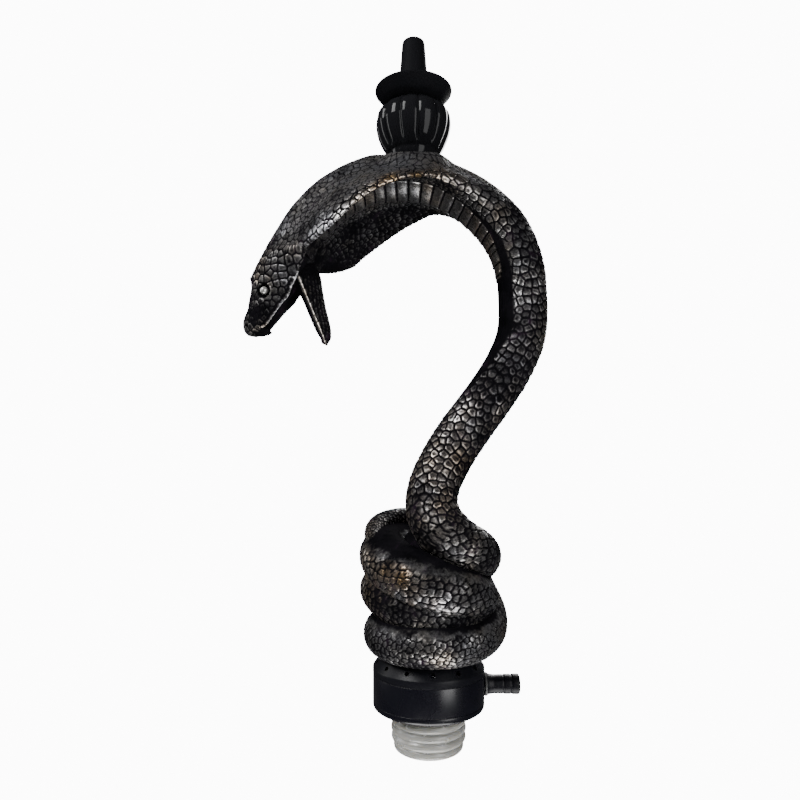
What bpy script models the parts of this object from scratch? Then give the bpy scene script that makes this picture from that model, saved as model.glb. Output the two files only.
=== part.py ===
"""A hookah stem cast as a coiled cobra, on a turned collar with a purge valve.

The origin is the middle of the collar's underside, +Z runs up the collar's axis, and +X is the
way the hose port points. The cobra's neck and arch lie in the XZ plane. Lengths are in
millimetres, and MM turns them into Blender's metres.
"""

import math

import bmesh
import bpy
import numpy as np
from mathutils import Matrix, Vector

MM = 0.001
GAP = 0.3  # clearance between neighbouring solids

# Collar, turned about the Z axis
COLLAR_R = 34.7
COLLAR_WALL = 3.4
BASE_TOP = 4.2
BODY_TOP = 21.3
CAP_EDGE_Z = 25.0
CAP_TOP = 31.5
CAP_TOP_R = 30.2
CAP_ROOF = 2.6
SPIGOT_R = 17.0
SPIGOT_END = -24.0
SPIGOT_BORE_R = 14.2
SOCKET_R = 11.0
SOCKET_END = -8.0
SOCKET_TOP = 12.0
VENT_COUNT = 13
VENT_FIRST = 2.2  # degrees from the front
VENT_R = 1.35
VENT_CIRCLE_R = 32.4
VENT_Z = 28.0

# Purge valve
BALL_R = 3.0
BALL_COUNT = 4
BALL_CIRCLE_R = 21.5
SEAT_HOLE_R = 2.0
VALVE_PLATE_TOP = 21.3
VALVE_PLATE_BOTTOM = 18.3

# Silicone stopper: (radius, height) of each rib, and the groove depth between them
STOPPER_END = -26.5
STOPPER_RIBS = ((23.1, -1.6), (23.4, -7.2), (23.4, -12.8), (23.2, -18.4), (21.2, -24.0))
RIB_DEPTH = 1.5
RIB_HALF = 1.3

# Hose port, turned about the X axis
PORT_Z = 13.3
PORT_TIP_X = 56.6
PORT_BORE_R = 4.2
PORT_SHANK_R = 5.4
PORT_FLANGE_R = 7.4
BARB_R = 6.1
BARB_ROOT_R = 5.6
BARB_COUNT = 3

# Bowl end, turned about a vertical axis that stands over the arch
BOWL_X = -9.4
SEAT_Z = 342.0
SEAT_R = 16.8
MOUND_R = 27.0
BULB_BOTTOM = 343.6
BULB_TOP = 376.2
BULB_MIDDLE = 361.0
BULB_R = 23.1
BULB_TALL = 25.5
FLUTES = 12
FLUTE_DEPTH = 0.55
DISH_BOTTOM = 377.8
DISH_RIM_Z = 383.0
DISH_RIM_R = 23.9
BOWL_TIP_Z = 414.4
BOWL_BASE_R = 9.3
BOWL_TIP_R = 6.8
NIPPLE_R = 5.2
NIPPLE_BORE_R = 4.0
NIPPLE_BOTTOM = 337.2
NIPPLE_TOP = 396.0

# Smoke tube inside the casting
TUBE_R = 6.0
TUBE_WALL = 1.2
TUBE_BORE_R = 7.0  # the channel in the casting

# Cobra: the arch of its neck is a circle in the XZ plane
ARCH = Vector((-15.9, 0.0, 257.5))
ARCH_R = 73.0
NECK_R = 15.0
WING_HALF = 3.6  # half the thickness of the hood's wings
SPINE_SPREAD = 12.0  # how far the thick body reaches into the wings
# Jaws: the corner of the mouth, and the way each lip runs from it
MOUTH_CORNER = Vector((-79.1, 0.0, 261.9))
UPPER_LIP = Vector((-0.642, 0.0, -0.767))
LOWER_LIP = Vector((0.375, 0.0, -0.927))
EYE_R = 2.5
EYE_SOCKET_R = 3.4
EYE_ALONG = 18.3
EYE_ABOVE = 13.1
EYE_OUT = 11.2

# Upper jaw and skull: distance from the mouth's corner, half width, back, belly, lift off the lip
SKULL = (
    (45.6, 3.0, 2.4, 3.6, 4.6),
    (44.6, 5.4, 5.2, 6.6, 4.4),
    (42.4, 7.6, 8.4, 8.2, 4.0),
    (39.0, 8.8, 10.6, 7.8, 3.6),
    (36.0, 9.4, 12.0, 5.2, 3.3),
    (33.0, 9.9, 13.6, 3.8, 3.0),
    (26.0, 11.4, 17.6, 3.4, 3.0),
    (18.0, 13.0, 22.4, 3.4, 3.0),
    (9.0, 14.4, 26.0, 4.6, 3.6),
)
# Lower jaw: distance from the mouth's corner, half width, mouth floor, chin
LOWER_JAW = (
    (38.6, 2.6, 0.6, 1.6),
    (37.4, 4.4, 2.2, 3.6),
    (35.0, 5.8, 3.0, 5.0),
    (29.5, 7.4, 3.7, 6.6),
    (18.4, 9.4, 4.0, 8.2),
    (8.0, 11.2, 4.4, 10.3),
    (-4.0, 12.6, 6.0, 12.5),
    (-18.0, 10.0, 7.0, 8.0),
)
# Arch: angle round the arch, half width, droop of the hood's edge, back, belly
HOOD = (
    (166.0, 21.0, 7.0, 18.0, 13.0),
    (154.0, 38.0, 20.0, 15.0, 13.0),
    (141.0, 47.0, 26.5, 14.8, 13.0),
    (126.0, 49.4, 27.0, 14.8, 13.0),
    (110.0, 48.0, 25.0, 14.8, 13.0),
    (96.0, 44.5, 21.0, 14.6, 13.5),
    (83.0, 38.0, 15.5, 13.6, 14.0),
    (69.0, 28.0, 8.5, 13.4, 14.5),
    (52.0, 21.6, 5.3, 14.4, 14.0),
    (34.0, 18.8, 3.6, 16.0, 13.6),
    (18.0, 16.6, 1.6, 16.2, 13.6),
    (4.0, 15.2, 0.0, 16.2, 13.8),
)
# S bend from the arch down to the coils: x, y, z, half width
S_BEND = (
    (58.1, 0.0, 234.0, 15.0),
    (50.6, 0.0, 213.0, 14.8),
    (38.1, 0.0, 193.0, 14.9),
    (23.4, -1.0, 173.0, 15.2),
    (10.6, -4.0, 153.5, 15.4),
    (2.4, -10.0, 136.5, 15.6),
    (1.4, -16.5, 123.0, 15.6),
)
# Coils: angle round the axis from the front (-Y) through +X, distance from the axis, height, half width
COIL = (
    (18.0, 22.4, 111.5, 15.7),
    (40.0, 26.8, 102.4, 15.6),
    (66.0, 28.6, 96.6, 15.4),
    (95.0, 29.6, 92.6, 15.0),
    (135.0, 29.0, 91.5, 14.8),
    (180.0, 28.5, 94.0, 14.8),
    (225.0, 28.0, 97.5, 15.0),
    (262.0, 27.6, 96.5, 15.3),
    (300.0, 27.8, 91.5, 16.0),
    (330.0, 28.4, 86.5, 16.2),
    (360.0, 29.0, 81.0, 16.2),
    (410.0, 29.6, 72.8, 15.4),
    (450.0, 28.0, 67.5, 14.0),
    (500.0, 27.0, 66.5, 13.6),
    (540.0, 26.5, 68.0, 13.6),
    (585.0, 27.0, 71.5, 13.8),
    (630.0, 28.0, 73.5, 14.2),
    (675.0, 26.4, 68.0, 14.0),
    (720.0, 25.0, 61.5, 13.8),
    (770.0, 26.5, 57.5, 13.4),
    (810.0, 28.0, 54.5, 13.4),
    (855.0, 28.5, 51.0, 13.4),
    (900.0, 29.0, 48.0, 13.4),
    (945.0, 28.4, 46.8, 13.5),
    (990.0, 26.4, 46.4, 13.7),
    (1035.0, 28.6, 46.3, 13.8),
    (1080.0, 30.4, 46.3, 13.8),
    (1130.0, 32.4, 47.0, 13.7),
    (1163.0, 34.8, 50.0, 13.6),
    (1188.0, 37.4, 56.5, 13.6),
    (1205.0, 40.0, 64.0, 13.4),
    (1217.0, 41.4, 76.0, 13.0),
    (1232.0, 41.0, 91.0, 12.4),
    (1252.0, 39.0, 103.5, 11.2),
    (1280.0, 36.0, 111.0, 9.8),
    (1310.0, 35.0, 112.8, 8.2),
    (1335.0, 35.0, 110.2, 6.8),
    (1360.0, 35.0, 104.5, 5.2),
    (1380.0, 34.6, 99.0, 3.6),
    (1395.0, 34.0, 95.0, 1.6),
)
TAIL_TURN = (1090.0, 1260.0)  # coil angles between which the tail turns over to climb
CORE_R = 18.0
CORE_TOP = 96.0

# Mesh fineness
ROUND = 32
ROUND_SMALL = 20
SWEEP_STEP = 6.0
SECTION_POINTS = 26
CAST_VOXEL = 2.0
CAST_RATIO = 0.075


def clear_scene():
    for obj in list(bpy.data.objects):
        bpy.data.objects.remove(obj)


def collection(name):
    made = bpy.data.collections.new(name)
    bpy.context.scene.collection.children.link(made)
    return made


def material(name, colour, roughness, metallic, alpha=1.0):
    made = bpy.data.materials.new(name)
    made.use_nodes = True
    shader = made.node_tree.nodes["Principled BSDF"]
    shader.inputs["Base Color"].default_value = (*colour, 1.0)
    shader.inputs["Roughness"].default_value = roughness
    shader.inputs["Metallic"].default_value = metallic
    shader.inputs["Alpha"].default_value = alpha
    return made


def add_object(name, bm, group, finish=None):
    """A new object holding bm, whose coordinates are in millimetres."""
    bmesh.ops.scale(bm, vec=(MM, MM, MM), verts=bm.verts)
    mesh = bpy.data.meshes.new(name)
    bm.to_mesh(mesh)
    bm.free()
    obj = bpy.data.objects.new(name, mesh)
    group.objects.link(obj)
    if finish:
        mesh.materials.append(finish)
    else:
        obj.hide_render = True
        obj.display_type = "WIRE"
    return obj


def turned(name, profile, group, finish=None, steps=ROUND, place=None):
    """A solid of revolution about Z, from a closed loop of (radius, height) down its outer side."""
    bm = bmesh.new()
    corners = [bm.verts.new((r, 0.0, z)) for r, z in profile]
    for a, b in zip(corners, corners[1:] + corners[:1]):
        bm.edges.new((a, b))
    obj = add_object(name, bm, group, finish)
    screw = obj.modifiers.new("turn", "SCREW")
    screw.steps = steps
    screw.render_steps = steps
    screw.use_merge_vertices = True
    screw.merge_threshold = 0.00002
    if place:
        obj.matrix_world = place
    return obj


def along_x(x, z):
    """Places a part that is turned about Z so that its axis points along +X from (x, 0, z)."""
    return Matrix.Translation((x * MM, 0.0, z * MM)) @ Matrix.Rotation(math.pi / 2, 4, "Y")


def upright(x):
    return Matrix.Translation((x * MM, 0.0, 0.0))


def washer(name, outer, inner, bottom, top, group, finish, steps=ROUND_SMALL, place=None):
    profile = ((outer, top), (outer, bottom), (inner, bottom), (inner, top))
    return turned(name, profile, group, finish, steps, place)


def seal_ring(name, middle, half, height, group, finish, place=None):
    """An O-ring of round section about Z."""
    sides = 8
    turn = [2 * math.pi * k / sides for k in range(sides)]
    profile = [(middle + half * math.cos(a), height - half * math.sin(a)) for a in turn]
    return turned(name, profile, group, finish, ROUND_SMALL, place)


def rod(bm, radius, start, end, sides, end_radius=None):
    """Adds a capped cylinder, or a cone, between two points."""
    start, end = Vector(start), Vector(end)
    along = end - start
    turn = along.to_track_quat("Z", "Y").to_matrix().to_4x4()
    bmesh.ops.create_cone(
        bm,
        cap_ends=True,
        segments=sides,
        radius1=radius,
        radius2=end_radius or radius,
        depth=along.length,
        matrix=Matrix.Translation((start + end) / 2) @ turn,
    )


def rods(name, rows, group, sides=ROUND_SMALL):
    """A cutter of separate cylinders, one for each (radius, start, end)."""
    bm = bmesh.new()
    for radius, start, end in rows:
        rod(bm, radius, start, end, sides)
    return add_object(name, bm, group)


def cut(obj, *cutters):
    for cutter in cutters:
        step = obj.modifiers.new("cut_" + cutter.name, "BOOLEAN")
        step.operation = "DIFFERENCE"
        step.object = cutter


def round_about(angle, radius, height):
    """A point at that angle from the front (-Y), turning through +X."""
    a = math.radians(angle)
    return Vector((radius * math.sin(a), -radius * math.cos(a), height))


def smooth_rows(rows, per_gap):
    """A Catmull-Rom curve through rows of numbers, per_gap rows from each to the next."""
    rows = np.array(rows, float)
    padded = np.vstack([2 * rows[0] - rows[1], rows, 2 * rows[-1] - rows[-2]])
    made = []
    for a, b, c, d in zip(padded, padded[1:], padded[2:], padded[3:]):
        for k in range(per_gap):
            t = k / per_gap
            bend = (2 * a - 5 * b + 4 * c - d) * t * t + (3 * b - a - 3 * c + d) * t**3
            made.append(b + 0.5 * ((c - a) * t + bend))
    made.append(rows[-1])
    return np.array(made)


def evenly(rows, step):
    """Rows at that spacing along their first three columns, which are a path."""
    ends = np.linalg.norm(np.diff(rows[:, :3], axis=0), axis=1)
    run = np.concatenate([[0.0], np.cumsum(ends)])
    wanted = np.linspace(0.0, run[-1], max(2, round(run[-1] / step) + 1))
    return np.column_stack([np.interp(wanted, run, column) for column in rows.T])


def station(centre, dorsal, half_width, back, belly, droop=0.0):
    """One row of a sweep: where its section is, which way its back faces, and the section's size."""
    return [*centre, *dorsal, half_width, back, belly, droop]


def skull_stations():
    dorsal = Vector((UPPER_LIP.z, 0.0, -UPPER_LIP.x))
    return [
        station(MOUTH_CORNER + UPPER_LIP * t + dorsal * lift, dorsal, half, back, belly)
        for t, half, back, belly, lift in SKULL
    ]


def lower_jaw_stations():
    """The chin is this sweep's back, and the mouth's floor its belly."""
    dorsal = Vector((-LOWER_LIP.z, 0.0, LOWER_LIP.x))
    return [
        station(MOUTH_CORNER + LOWER_LIP * t, dorsal, half, chin, floor)
        for t, half, floor, chin in LOWER_JAW
    ]


def hood_stations():
    made = []
    for angle, half, droop, back, belly in HOOD:
        a = math.radians(angle)
        dorsal = Vector((math.cos(a), 0.0, math.sin(a)))
        made.append(station(ARCH + dorsal * ARCH_R, dorsal, half, back, belly, droop))
    return made


def s_bend_stations():
    """The back turns from facing +X to facing the front as the neck comes down to the coils."""
    made = []
    for k, (x, y, z, half) in enumerate(S_BEND):
        share = max(0.0, (k - 2) / (len(S_BEND) - 2))
        dorsal = Vector((1.0 - 0.6 * share, -0.8 * share, -0.5 * (1.0 - share))).normalized()
        made.append(station((x, y, z), dorsal, half, half, half))
    return made


def coil_stations():
    made = []
    for angle, out, height, half in smooth_rows(COIL, 4):
        tilt = np.interp(angle, TAIL_TURN, (0.7, -0.55))
        dorsal = (round_about(angle, 1.0, 0.0) + Vector((0.0, 0.0, tilt))).normalized()
        made.append(station(round_about(angle, out, height), dorsal, half, half, half))
    return made


def cobra_stations():
    """From the snout, over the arch and down the S bend, to the tail's tip."""
    return skull_stations() + hood_stations() + s_bend_stations() + coil_stations()


def section(half_width, back, belly, droop, count):
    """(sideways, towards the back) for each point round a section.

    A plain section is an ellipse. As it widens past the neck it turns into the hood's: a thick
    spine with a thin wing on each side that droops towards the belly.
    """
    hooded = min(1.0, max(0.0, (half_width - NECK_R - 1.0) / 14.0))
    if droop <= 0.0:
        hooded = 0.0
    points = []
    for k in range(count):
        turn = 2 * math.pi * (k + 0.5) / count
        side, up = math.sin(turn), math.cos(turn)
        depth = back if up > 0 else belly
        spine = math.exp(-((half_width * side / SPINE_SPREAD) ** 2))
        edge = math.sqrt(1.0 - abs(side) ** 6)
        wing = (WING_HALF + (depth - WING_HALF) * spine) * edge
        thick = (1.0 - hooded) * depth * abs(up) + hooded * wing
        points.append((half_width * side, math.copysign(thick, up) - droop * abs(side) ** 1.6))
    return points


def sweep(bm, rows, count=SECTION_POINTS):
    """Adds a closed skin through the sections of rows, with a flat cap at each end."""
    path = rows[:, :3]
    tangents = np.gradient(path, axis=0)
    rings = []
    for row, centre, tangent in zip(rows, path, tangents):
        along = Vector(tangent).normalized()
        dorsal = Vector(row[3:6])
        dorsal = (dorsal - along * dorsal.dot(along)).normalized()
        lateral = dorsal.cross(along)
        points = section(*row[6:10], count)
        rings.append([bm.verts.new(Vector(centre) + lateral * s + dorsal * d) for s, d in points])
    for near, far in zip(rings, rings[1:]):
        for k in range(count):
            n = (k + 1) % count
            bm.faces.new((near[k], near[n], far[n], far[k]))
    bm.faces.new(rings[0][::-1])
    bm.faces.new(rings[-1])


def tube_path():
    """The smoke tube's own line: up the collar's axis, along the neck and over to the bowl's axis."""
    arch = [ARCH + Vector((math.cos(a), 0.0, math.sin(a))) * ARCH_R for a in np.radians((6, 28, 50, 70))]
    lower = [(0.0, 0.0, 52.0), (0.0, 0.0, 74.0), (0.5, -3.0, 95.0), (2.0, -10.0, 115.0)]
    bend = [(x, y, z) for x, y, z, _ in S_BEND[5:1:-1]] + [(56.9, 0.0, 232.0)]
    last = [(BOWL_X + 11.4, 0.0, ARCH.z + ARCH_R - 0.4)]
    rows = [list(p) for p in lower + bend + arch + last]
    return evenly(smooth_rows(rows, 6), 8.0)


def tube_curve(name, group, radius, points, caps):
    data = bpy.data.curves.new(name, "CURVE")
    data.dimensions = "3D"
    data.bevel_depth = radius * MM
    data.bevel_resolution = 2
    data.use_fill_caps = caps
    spline = data.splines.new("POLY")
    spline.points.add(len(points) - 1)
    for point, place in zip(spline.points, points):
        point.co = (*(Vector(place[:3]) * MM), 1.0)
    obj = bpy.data.objects.new(name, data)
    group.objects.link(obj)
    return obj


def as_mesh(curve, name, group, finish=None):
    """The curve's surface as a mesh object, in place of the curve."""
    bpy.context.view_layer.update()
    graph = bpy.context.evaluated_depsgraph_get()
    mesh = bpy.data.meshes.new_from_object(curve.evaluated_get(graph))
    bm = bmesh.new()
    bm.from_mesh(mesh)
    bmesh.ops.remove_doubles(bm, verts=bm.verts, dist=0.00001)
    bmesh.ops.recalc_face_normals(bm, faces=bm.faces)
    bm.to_mesh(mesh)
    bm.free()
    obj = bpy.data.objects.new(name, mesh)
    obj.matrix_world = curve.matrix_world
    group.objects.link(obj)
    mesh.materials.clear()
    if finish:
        mesh.materials.append(finish)
    else:
        obj.hide_render = True
        obj.display_type = "WIRE"
    bpy.data.objects.remove(curve)
    return obj


def eye_centre(side):
    dorsal = Vector((UPPER_LIP.z, 0.0, -UPPER_LIP.x))
    place = MOUTH_CORNER + UPPER_LIP * EYE_ALONG + dorsal * EYE_ABOVE
    return place + Vector((0.0, side * EYE_OUT, 0.0))


def make_eyes(parts, finish):
    for name, side in (("eye_left", 1), ("eye_right", -1)):
        bm = bmesh.new()
        bmesh.ops.create_uvsphere(
            bm, u_segments=12, v_segments=8, radius=EYE_R, matrix=Matrix.Translation(eye_centre(side))
        )
        add_object(name, bm, parts, finish)


def make_casting(parts, cutters, finish):
    """The cobra: its sweeps and the core are fused into one skin, then hollowed for what it holds."""
    bm = bmesh.new()
    sweep(bm, evenly(smooth_rows(cobra_stations(), 6), SWEEP_STEP))
    sweep(bm, evenly(smooth_rows(lower_jaw_stations(), 6), 4.0))
    rod(bm, CORE_R, (0.0, 0.0, CAP_TOP + 2.2), (0.0, 0.0, CORE_TOP), ROUND)
    rod(bm, MOUND_R, (BOWL_X, 0.0, 328.0), (BOWL_X, 0.0, SEAT_Z + 1.0), ROUND, SEAT_R)
    bmesh.ops.recalc_face_normals(bm, faces=bm.faces)
    obj = add_object("snake_casting", bm, parts, finish)
    fuse = obj.modifiers.new("fuse", "REMESH")
    fuse.mode = "VOXEL"
    fuse.voxel_size = CAST_VOXEL * MM
    even = obj.modifiers.new("even", "SMOOTH")
    even.factor = 0.5
    even.iterations = 4
    thin = obj.modifiers.new("thin", "DECIMATE")
    thin.ratio = CAST_RATIO

    path = tube_path()
    start, end = Vector(path[0]), Vector(path[-1])
    end += Vector((-3.0, 0.0, 0.0))
    bore = tube_curve("tube_line", cutters, TUBE_BORE_R, [start - Vector((0, 0, 3)), *path, end], True)
    bore = as_mesh(bore, "tube_bore", cutters)
    sockets = bmesh.new()
    for side in (1, -1):
        bmesh.ops.create_uvsphere(
            sockets,
            u_segments=12,
            v_segments=8,
            radius=EYE_SOCKET_R,
            matrix=Matrix.Translation(eye_centre(side)),
        )
    eye_sockets = add_object("eye_sockets", sockets, cutters)
    lower = rods("lower_pocket", [(11.0 + GAP, (0, 0, 20), (0, 0, 50.0 + GAP))], cutters)
    seat = rods("seat_cut", [(24.0, (BOWL_X, 0, SEAT_Z), (BOWL_X, 0, 360.0))], cutters)
    upper = rods("upper_pocket", [(8.0 + GAP, (BOWL_X, 0, 321.0 - GAP), (BOWL_X, 0, 360.0))], cutters)
    flat = bmesh.new()
    bmesh.ops.create_cube(flat, size=1.0)
    bmesh.ops.scale(flat, vec=(160.0, 160.0, 20.0), verts=flat.verts)
    bmesh.ops.translate(flat, vec=(0.0, 0.0, CAP_TOP + GAP - 10.0), verts=flat.verts)
    under = add_object("casting_foot", flat, cutters)
    cut(obj, bore, eye_sockets, lower, upper, seat, under)


def make_smoke_tube(parts, finish):
    curve = tube_curve("smoke_tube_line", parts, TUBE_R, tube_path(), False)
    tube = as_mesh(curve, "smoke_tube", parts, finish)
    wall = tube.modifiers.new("wall", "SOLIDIFY")
    wall.thickness = TUBE_WALL * MM
    wall.offset = -1.0


def make_inserts(parts, cutters, finish):
    """The threaded bushes cast into the cobra's foot and back."""
    lower = ((11.0, 50.0), (11.0, 33.4), (8.6, 33.4), (8.6, 46.0), (7.0, 48.0), (7.0, 50.0))
    turned("foot_insert", lower, parts, finish, ROUND_SMALL)
    upper = ((8.0, 341.6), (8.0, 321.0), (1.6, 321.0), (1.6, 323.4), (5.6, 323.4), (5.6, 341.6))
    bush = turned("back_insert", upper, parts, finish, ROUND_SMALL, upright(BOWL_X))
    line = ARCH.z + ARCH_R - 0.4
    side = rods("insert_side_hole", [(4.4, (BOWL_X, 0, line), (BOWL_X + 12, 0, line))], cutters, 16)
    cut(bush, side)


def make_collar(parts, cutters, painted, steel, rubber):
    base = (
        (COLLAR_R - 0.5, BASE_TOP),
        (COLLAR_R, BASE_TOP - 0.5),
        (COLLAR_R, 0.6),
        (COLLAR_R - 0.6, 0.0),
        (SPIGOT_R, 0.0),
        (SPIGOT_R, SPIGOT_END),
        (SPIGOT_BORE_R, SPIGOT_END),
        (SPIGOT_BORE_R, BASE_TOP),
    )
    turned("collar_base", base, parts, painted)

    inner = COLLAR_R - COLLAR_WALL
    bottom = BASE_TOP + GAP
    body = (
        (COLLAR_R - 0.4, BODY_TOP),
        (COLLAR_R, BODY_TOP - 0.4),
        (COLLAR_R, bottom + 0.4),
        (COLLAR_R - 0.4, bottom),
        (inner, bottom),
        (inner, VALVE_PLATE_BOTTOM - 1.6),
        (inner - 2.2, VALVE_PLATE_BOTTOM - 1.6),
        (inner - 2.2, VALVE_PLATE_BOTTOM - GAP),
        (inner, VALVE_PLATE_BOTTOM - GAP),
        (inner, BODY_TOP),
    )
    sleeve = turned("collar_sleeve", body, parts, painted)
    hole = rods("hose_hole", [(PORT_SHANK_R + GAP, (24, 0, PORT_Z), (40, 0, PORT_Z))], cutters)
    cut(sleeve, hole)

    seats = []
    for k in range(BALL_COUNT):
        x, y, _ = round_about(45 + 360 * k / BALL_COUNT, BALL_CIRCLE_R, 0)
        seats.append((SEAT_HOLE_R, (x, y, VALVE_PLATE_BOTTOM - 3), (x, y, VALVE_PLATE_TOP + 3)))
    plate = washer(
        "valve_plate",
        inner - GAP,
        SOCKET_R + GAP,
        VALVE_PLATE_BOTTOM,
        VALVE_PLATE_TOP,
        parts,
        steel,
        ROUND,
    )
    cut(plate, rods("seat_holes", seats, cutters, 12))

    low = BODY_TOP + GAP
    roof = CAP_TOP - CAP_ROOF
    cap = (
        (CAP_TOP_R, CAP_TOP),
        (COLLAR_R, CAP_EDGE_Z),
        (COLLAR_R, low + 0.4),
        (COLLAR_R - 0.4, low),
        (inner, low),
        (inner, CAP_EDGE_Z),
        (CAP_TOP_R - 3.2, roof),
        (8.6, roof),
        (8.6, CAP_TOP),
    )
    vents = []
    for k in range(VENT_COUNT):
        angle = VENT_FIRST + 360 * k / VENT_COUNT
        vents.append(
            (
                VENT_R,
                round_about(angle, VENT_CIRCLE_R - 6.0, VENT_Z - 3.5),
                round_about(angle, VENT_CIRCLE_R + 4.5, VENT_Z + 2.6),
            )
        )
    hood = turned("vent_cap", cap, parts, painted, ROUND)
    cut(hood, rods("vent_holes", vents, cutters, 8))

    heart = (
        (8.0, 45.4),
        (8.0, roof - GAP),
        (SOCKET_R, roof - GAP),
        (SOCKET_R, VALVE_PLATE_BOTTOM - GAP - 0.1),
        (SOCKET_R + 2.4, VALVE_PLATE_BOTTOM - GAP - 0.1),
        (SOCKET_R + 2.4, VALVE_PLATE_BOTTOM - 3.0),
        (SOCKET_R, VALVE_PLATE_BOTTOM - 3.0),
        (SOCKET_R, SOCKET_TOP + GAP),
        (6.2, SOCKET_TOP + GAP),
        (6.2, 45.4),
    )
    turned("stem_heart", heart, parts, steel, ROUND)
    washer("dip_socket", SOCKET_R, 8.6, SOCKET_END, SOCKET_TOP, parts, steel, ROUND)

    seal_ring("base_seal", inner - 1.1, 0.75, BASE_TOP + 0.75 + GAP, parts, rubber)
    seal_ring("cap_seal", inner - 1.4, 0.7, VALVE_PLATE_TOP + 0.7 + GAP, parts, rubber)


def make_purge_balls(parts, finish):
    rest = VALVE_PLATE_TOP + math.sqrt(BALL_R**2 - SEAT_HOLE_R**2) + 0.1
    for k in range(BALL_COUNT):
        centre = round_about(45 + 360 * k / BALL_COUNT, BALL_CIRCLE_R, rest)
        bm = bmesh.new()
        bmesh.ops.create_uvsphere(
            bm, u_segments=12, v_segments=8, radius=BALL_R, matrix=Matrix.Translation(centre)
        )
        add_object(f"purge_ball_{k + 1}", bm, parts, finish)


def make_stopper(parts, finish):
    """The ribbed silicone plug, with a rounded rib at each height."""
    profile = [(STOPPER_RIBS[0][0] - 0.8, -GAP)]
    for out, height in STOPPER_RIBS:
        for r, z in ((out - RIB_DEPTH, RIB_HALF + 0.7), (out, RIB_HALF * 0.5), (out, -RIB_HALF * 0.5)):
            if height + z < -GAP - 0.2:
                profile.append((r, height + z))
        if height - RIB_HALF - 0.7 > STOPPER_END + 0.5:
            profile.append((out - RIB_DEPTH, height - RIB_HALF - 0.7))
    last = STOPPER_RIBS[-1][0]
    profile += [(last - 1.6, STOPPER_END), (SPIGOT_R - 2.0, STOPPER_END), (SPIGOT_R - 2.0, SPIGOT_END - GAP)]
    profile += [(SPIGOT_R + GAP, SPIGOT_END - GAP), (SPIGOT_R + GAP, -GAP)]
    turned("stopper", profile, parts, finish)


def make_hose_port(parts, painted, rubber):
    """Turned about its own axis, its height running along +X."""
    start = COLLAR_R - COLLAR_WALL + GAP
    flange = COLLAR_R + 1.7
    profile = [(BARB_R - 0.7, PORT_TIP_X), (BARB_R, PORT_TIP_X - 0.7)]
    tooth = (PORT_TIP_X - 0.7 - flange - 4.0) / BARB_COUNT
    for k in range(BARB_COUNT):
        top = PORT_TIP_X - 0.7 - k * tooth
        profile += [(BARB_R, top - tooth * 0.55), (BARB_ROOT_R, top - tooth * 0.62)]
        profile += [(BARB_ROOT_R, top - tooth * 0.75), (BARB_R, top - tooth + 0.01)]
    profile += [(BARB_R, flange + 3.2), (PORT_FLANGE_R, flange + 1.4), (PORT_FLANGE_R, flange)]
    profile += [(PORT_SHANK_R, flange), (PORT_SHANK_R, start)]
    profile += [(PORT_BORE_R, start), (PORT_BORE_R, PORT_TIP_X)]
    turned("hose_port", profile, parts, painted, 24, along_x(0.0, PORT_Z))
    washer(
        "hose_port_seal",
        PORT_FLANGE_R - 0.2,
        PORT_SHANK_R + GAP,
        COLLAR_R + GAP,
        flange - GAP,
        parts,
        rubber,
        ROUND_SMALL,
        along_x(0.0, PORT_Z),
    )


def make_bulb(parts, cutters, finish):
    """A fluted ball with flat ends and a bore for the nipple."""
    bm = bmesh.new()
    bmesh.ops.create_uvsphere(bm, u_segments=4 * FLUTES, v_segments=14, radius=1.0)
    for vert in bm.verts:
        angle = math.atan2(vert.co.y, vert.co.x)
        radius = BULB_R + FLUTE_DEPTH * math.cos(FLUTES * angle)
        height = BULB_MIDDLE + BULB_TALL * vert.co.z
        vert.co.x = vert.co.x * radius
        vert.co.y = vert.co.y * radius
        vert.co.z = min(BULB_TOP, max(BULB_BOTTOM, height))
    bulb = add_object("fluted_bulb", bm, parts, finish)
    bulb.matrix_world = upright(BOWL_X)
    cut(bulb, rods("bulb_bore", [(6.2, (BOWL_X, 0, 330), (BOWL_X, 0, 390))], cutters))


def make_bowl_end(parts, cutters, painted, gloss, steel, rubber):
    place = upright(BOWL_X)
    washer("bulb_gasket", 15.0, 8.6, SEAT_Z + GAP, BULB_BOTTOM - GAP, parts, rubber, place=place)
    make_bulb(parts, cutters, gloss)
    washer("dish_gasket", 14.0, 6.2, BULB_TOP + GAP, DISH_BOTTOM - GAP, parts, rubber, place=place)
    dish = (
        (DISH_RIM_R - 0.9, DISH_RIM_Z),
        (DISH_RIM_R, DISH_RIM_Z - 0.7),
        (22.4, DISH_BOTTOM + 2.6),
        (19.2, DISH_BOTTOM),
        (6.2, DISH_BOTTOM),
        (6.2, DISH_BOTTOM + 2.2),
        (14.0, DISH_BOTTOM + 2.2),
        (19.6, DISH_RIM_Z - 1.6),
    )
    turned("dish", dish, parts, painted, ROUND, place)
    floor = DISH_BOTTOM + 2.2
    washer("port_gasket", 9.0, 6.2, floor + GAP, floor + 1.2, parts, rubber, place=place)
    foot = floor + 1.2 + GAP
    port = (
        (BOWL_TIP_R - 0.9, BOWL_TIP_Z),
        (BOWL_TIP_R, BOWL_TIP_Z - 1.0),
        (BOWL_BASE_R, foot + 0.6),
        (BOWL_BASE_R - 0.5, foot),
        (NIPPLE_R + GAP, foot),
        (NIPPLE_R + GAP, NIPPLE_TOP + GAP),
        (NIPPLE_BORE_R, NIPPLE_TOP + 1.6),
        (NIPPLE_BORE_R, BOWL_TIP_Z),
    )
    turned("bowl_port", port, parts, painted, ROUND, place)
    washer(
        "clamp_nipple",
        NIPPLE_R,
        NIPPLE_BORE_R,
        NIPPLE_BOTTOM,
        NIPPLE_TOP,
        parts,
        steel,
        ROUND_SMALL,
        place,
    )


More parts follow.
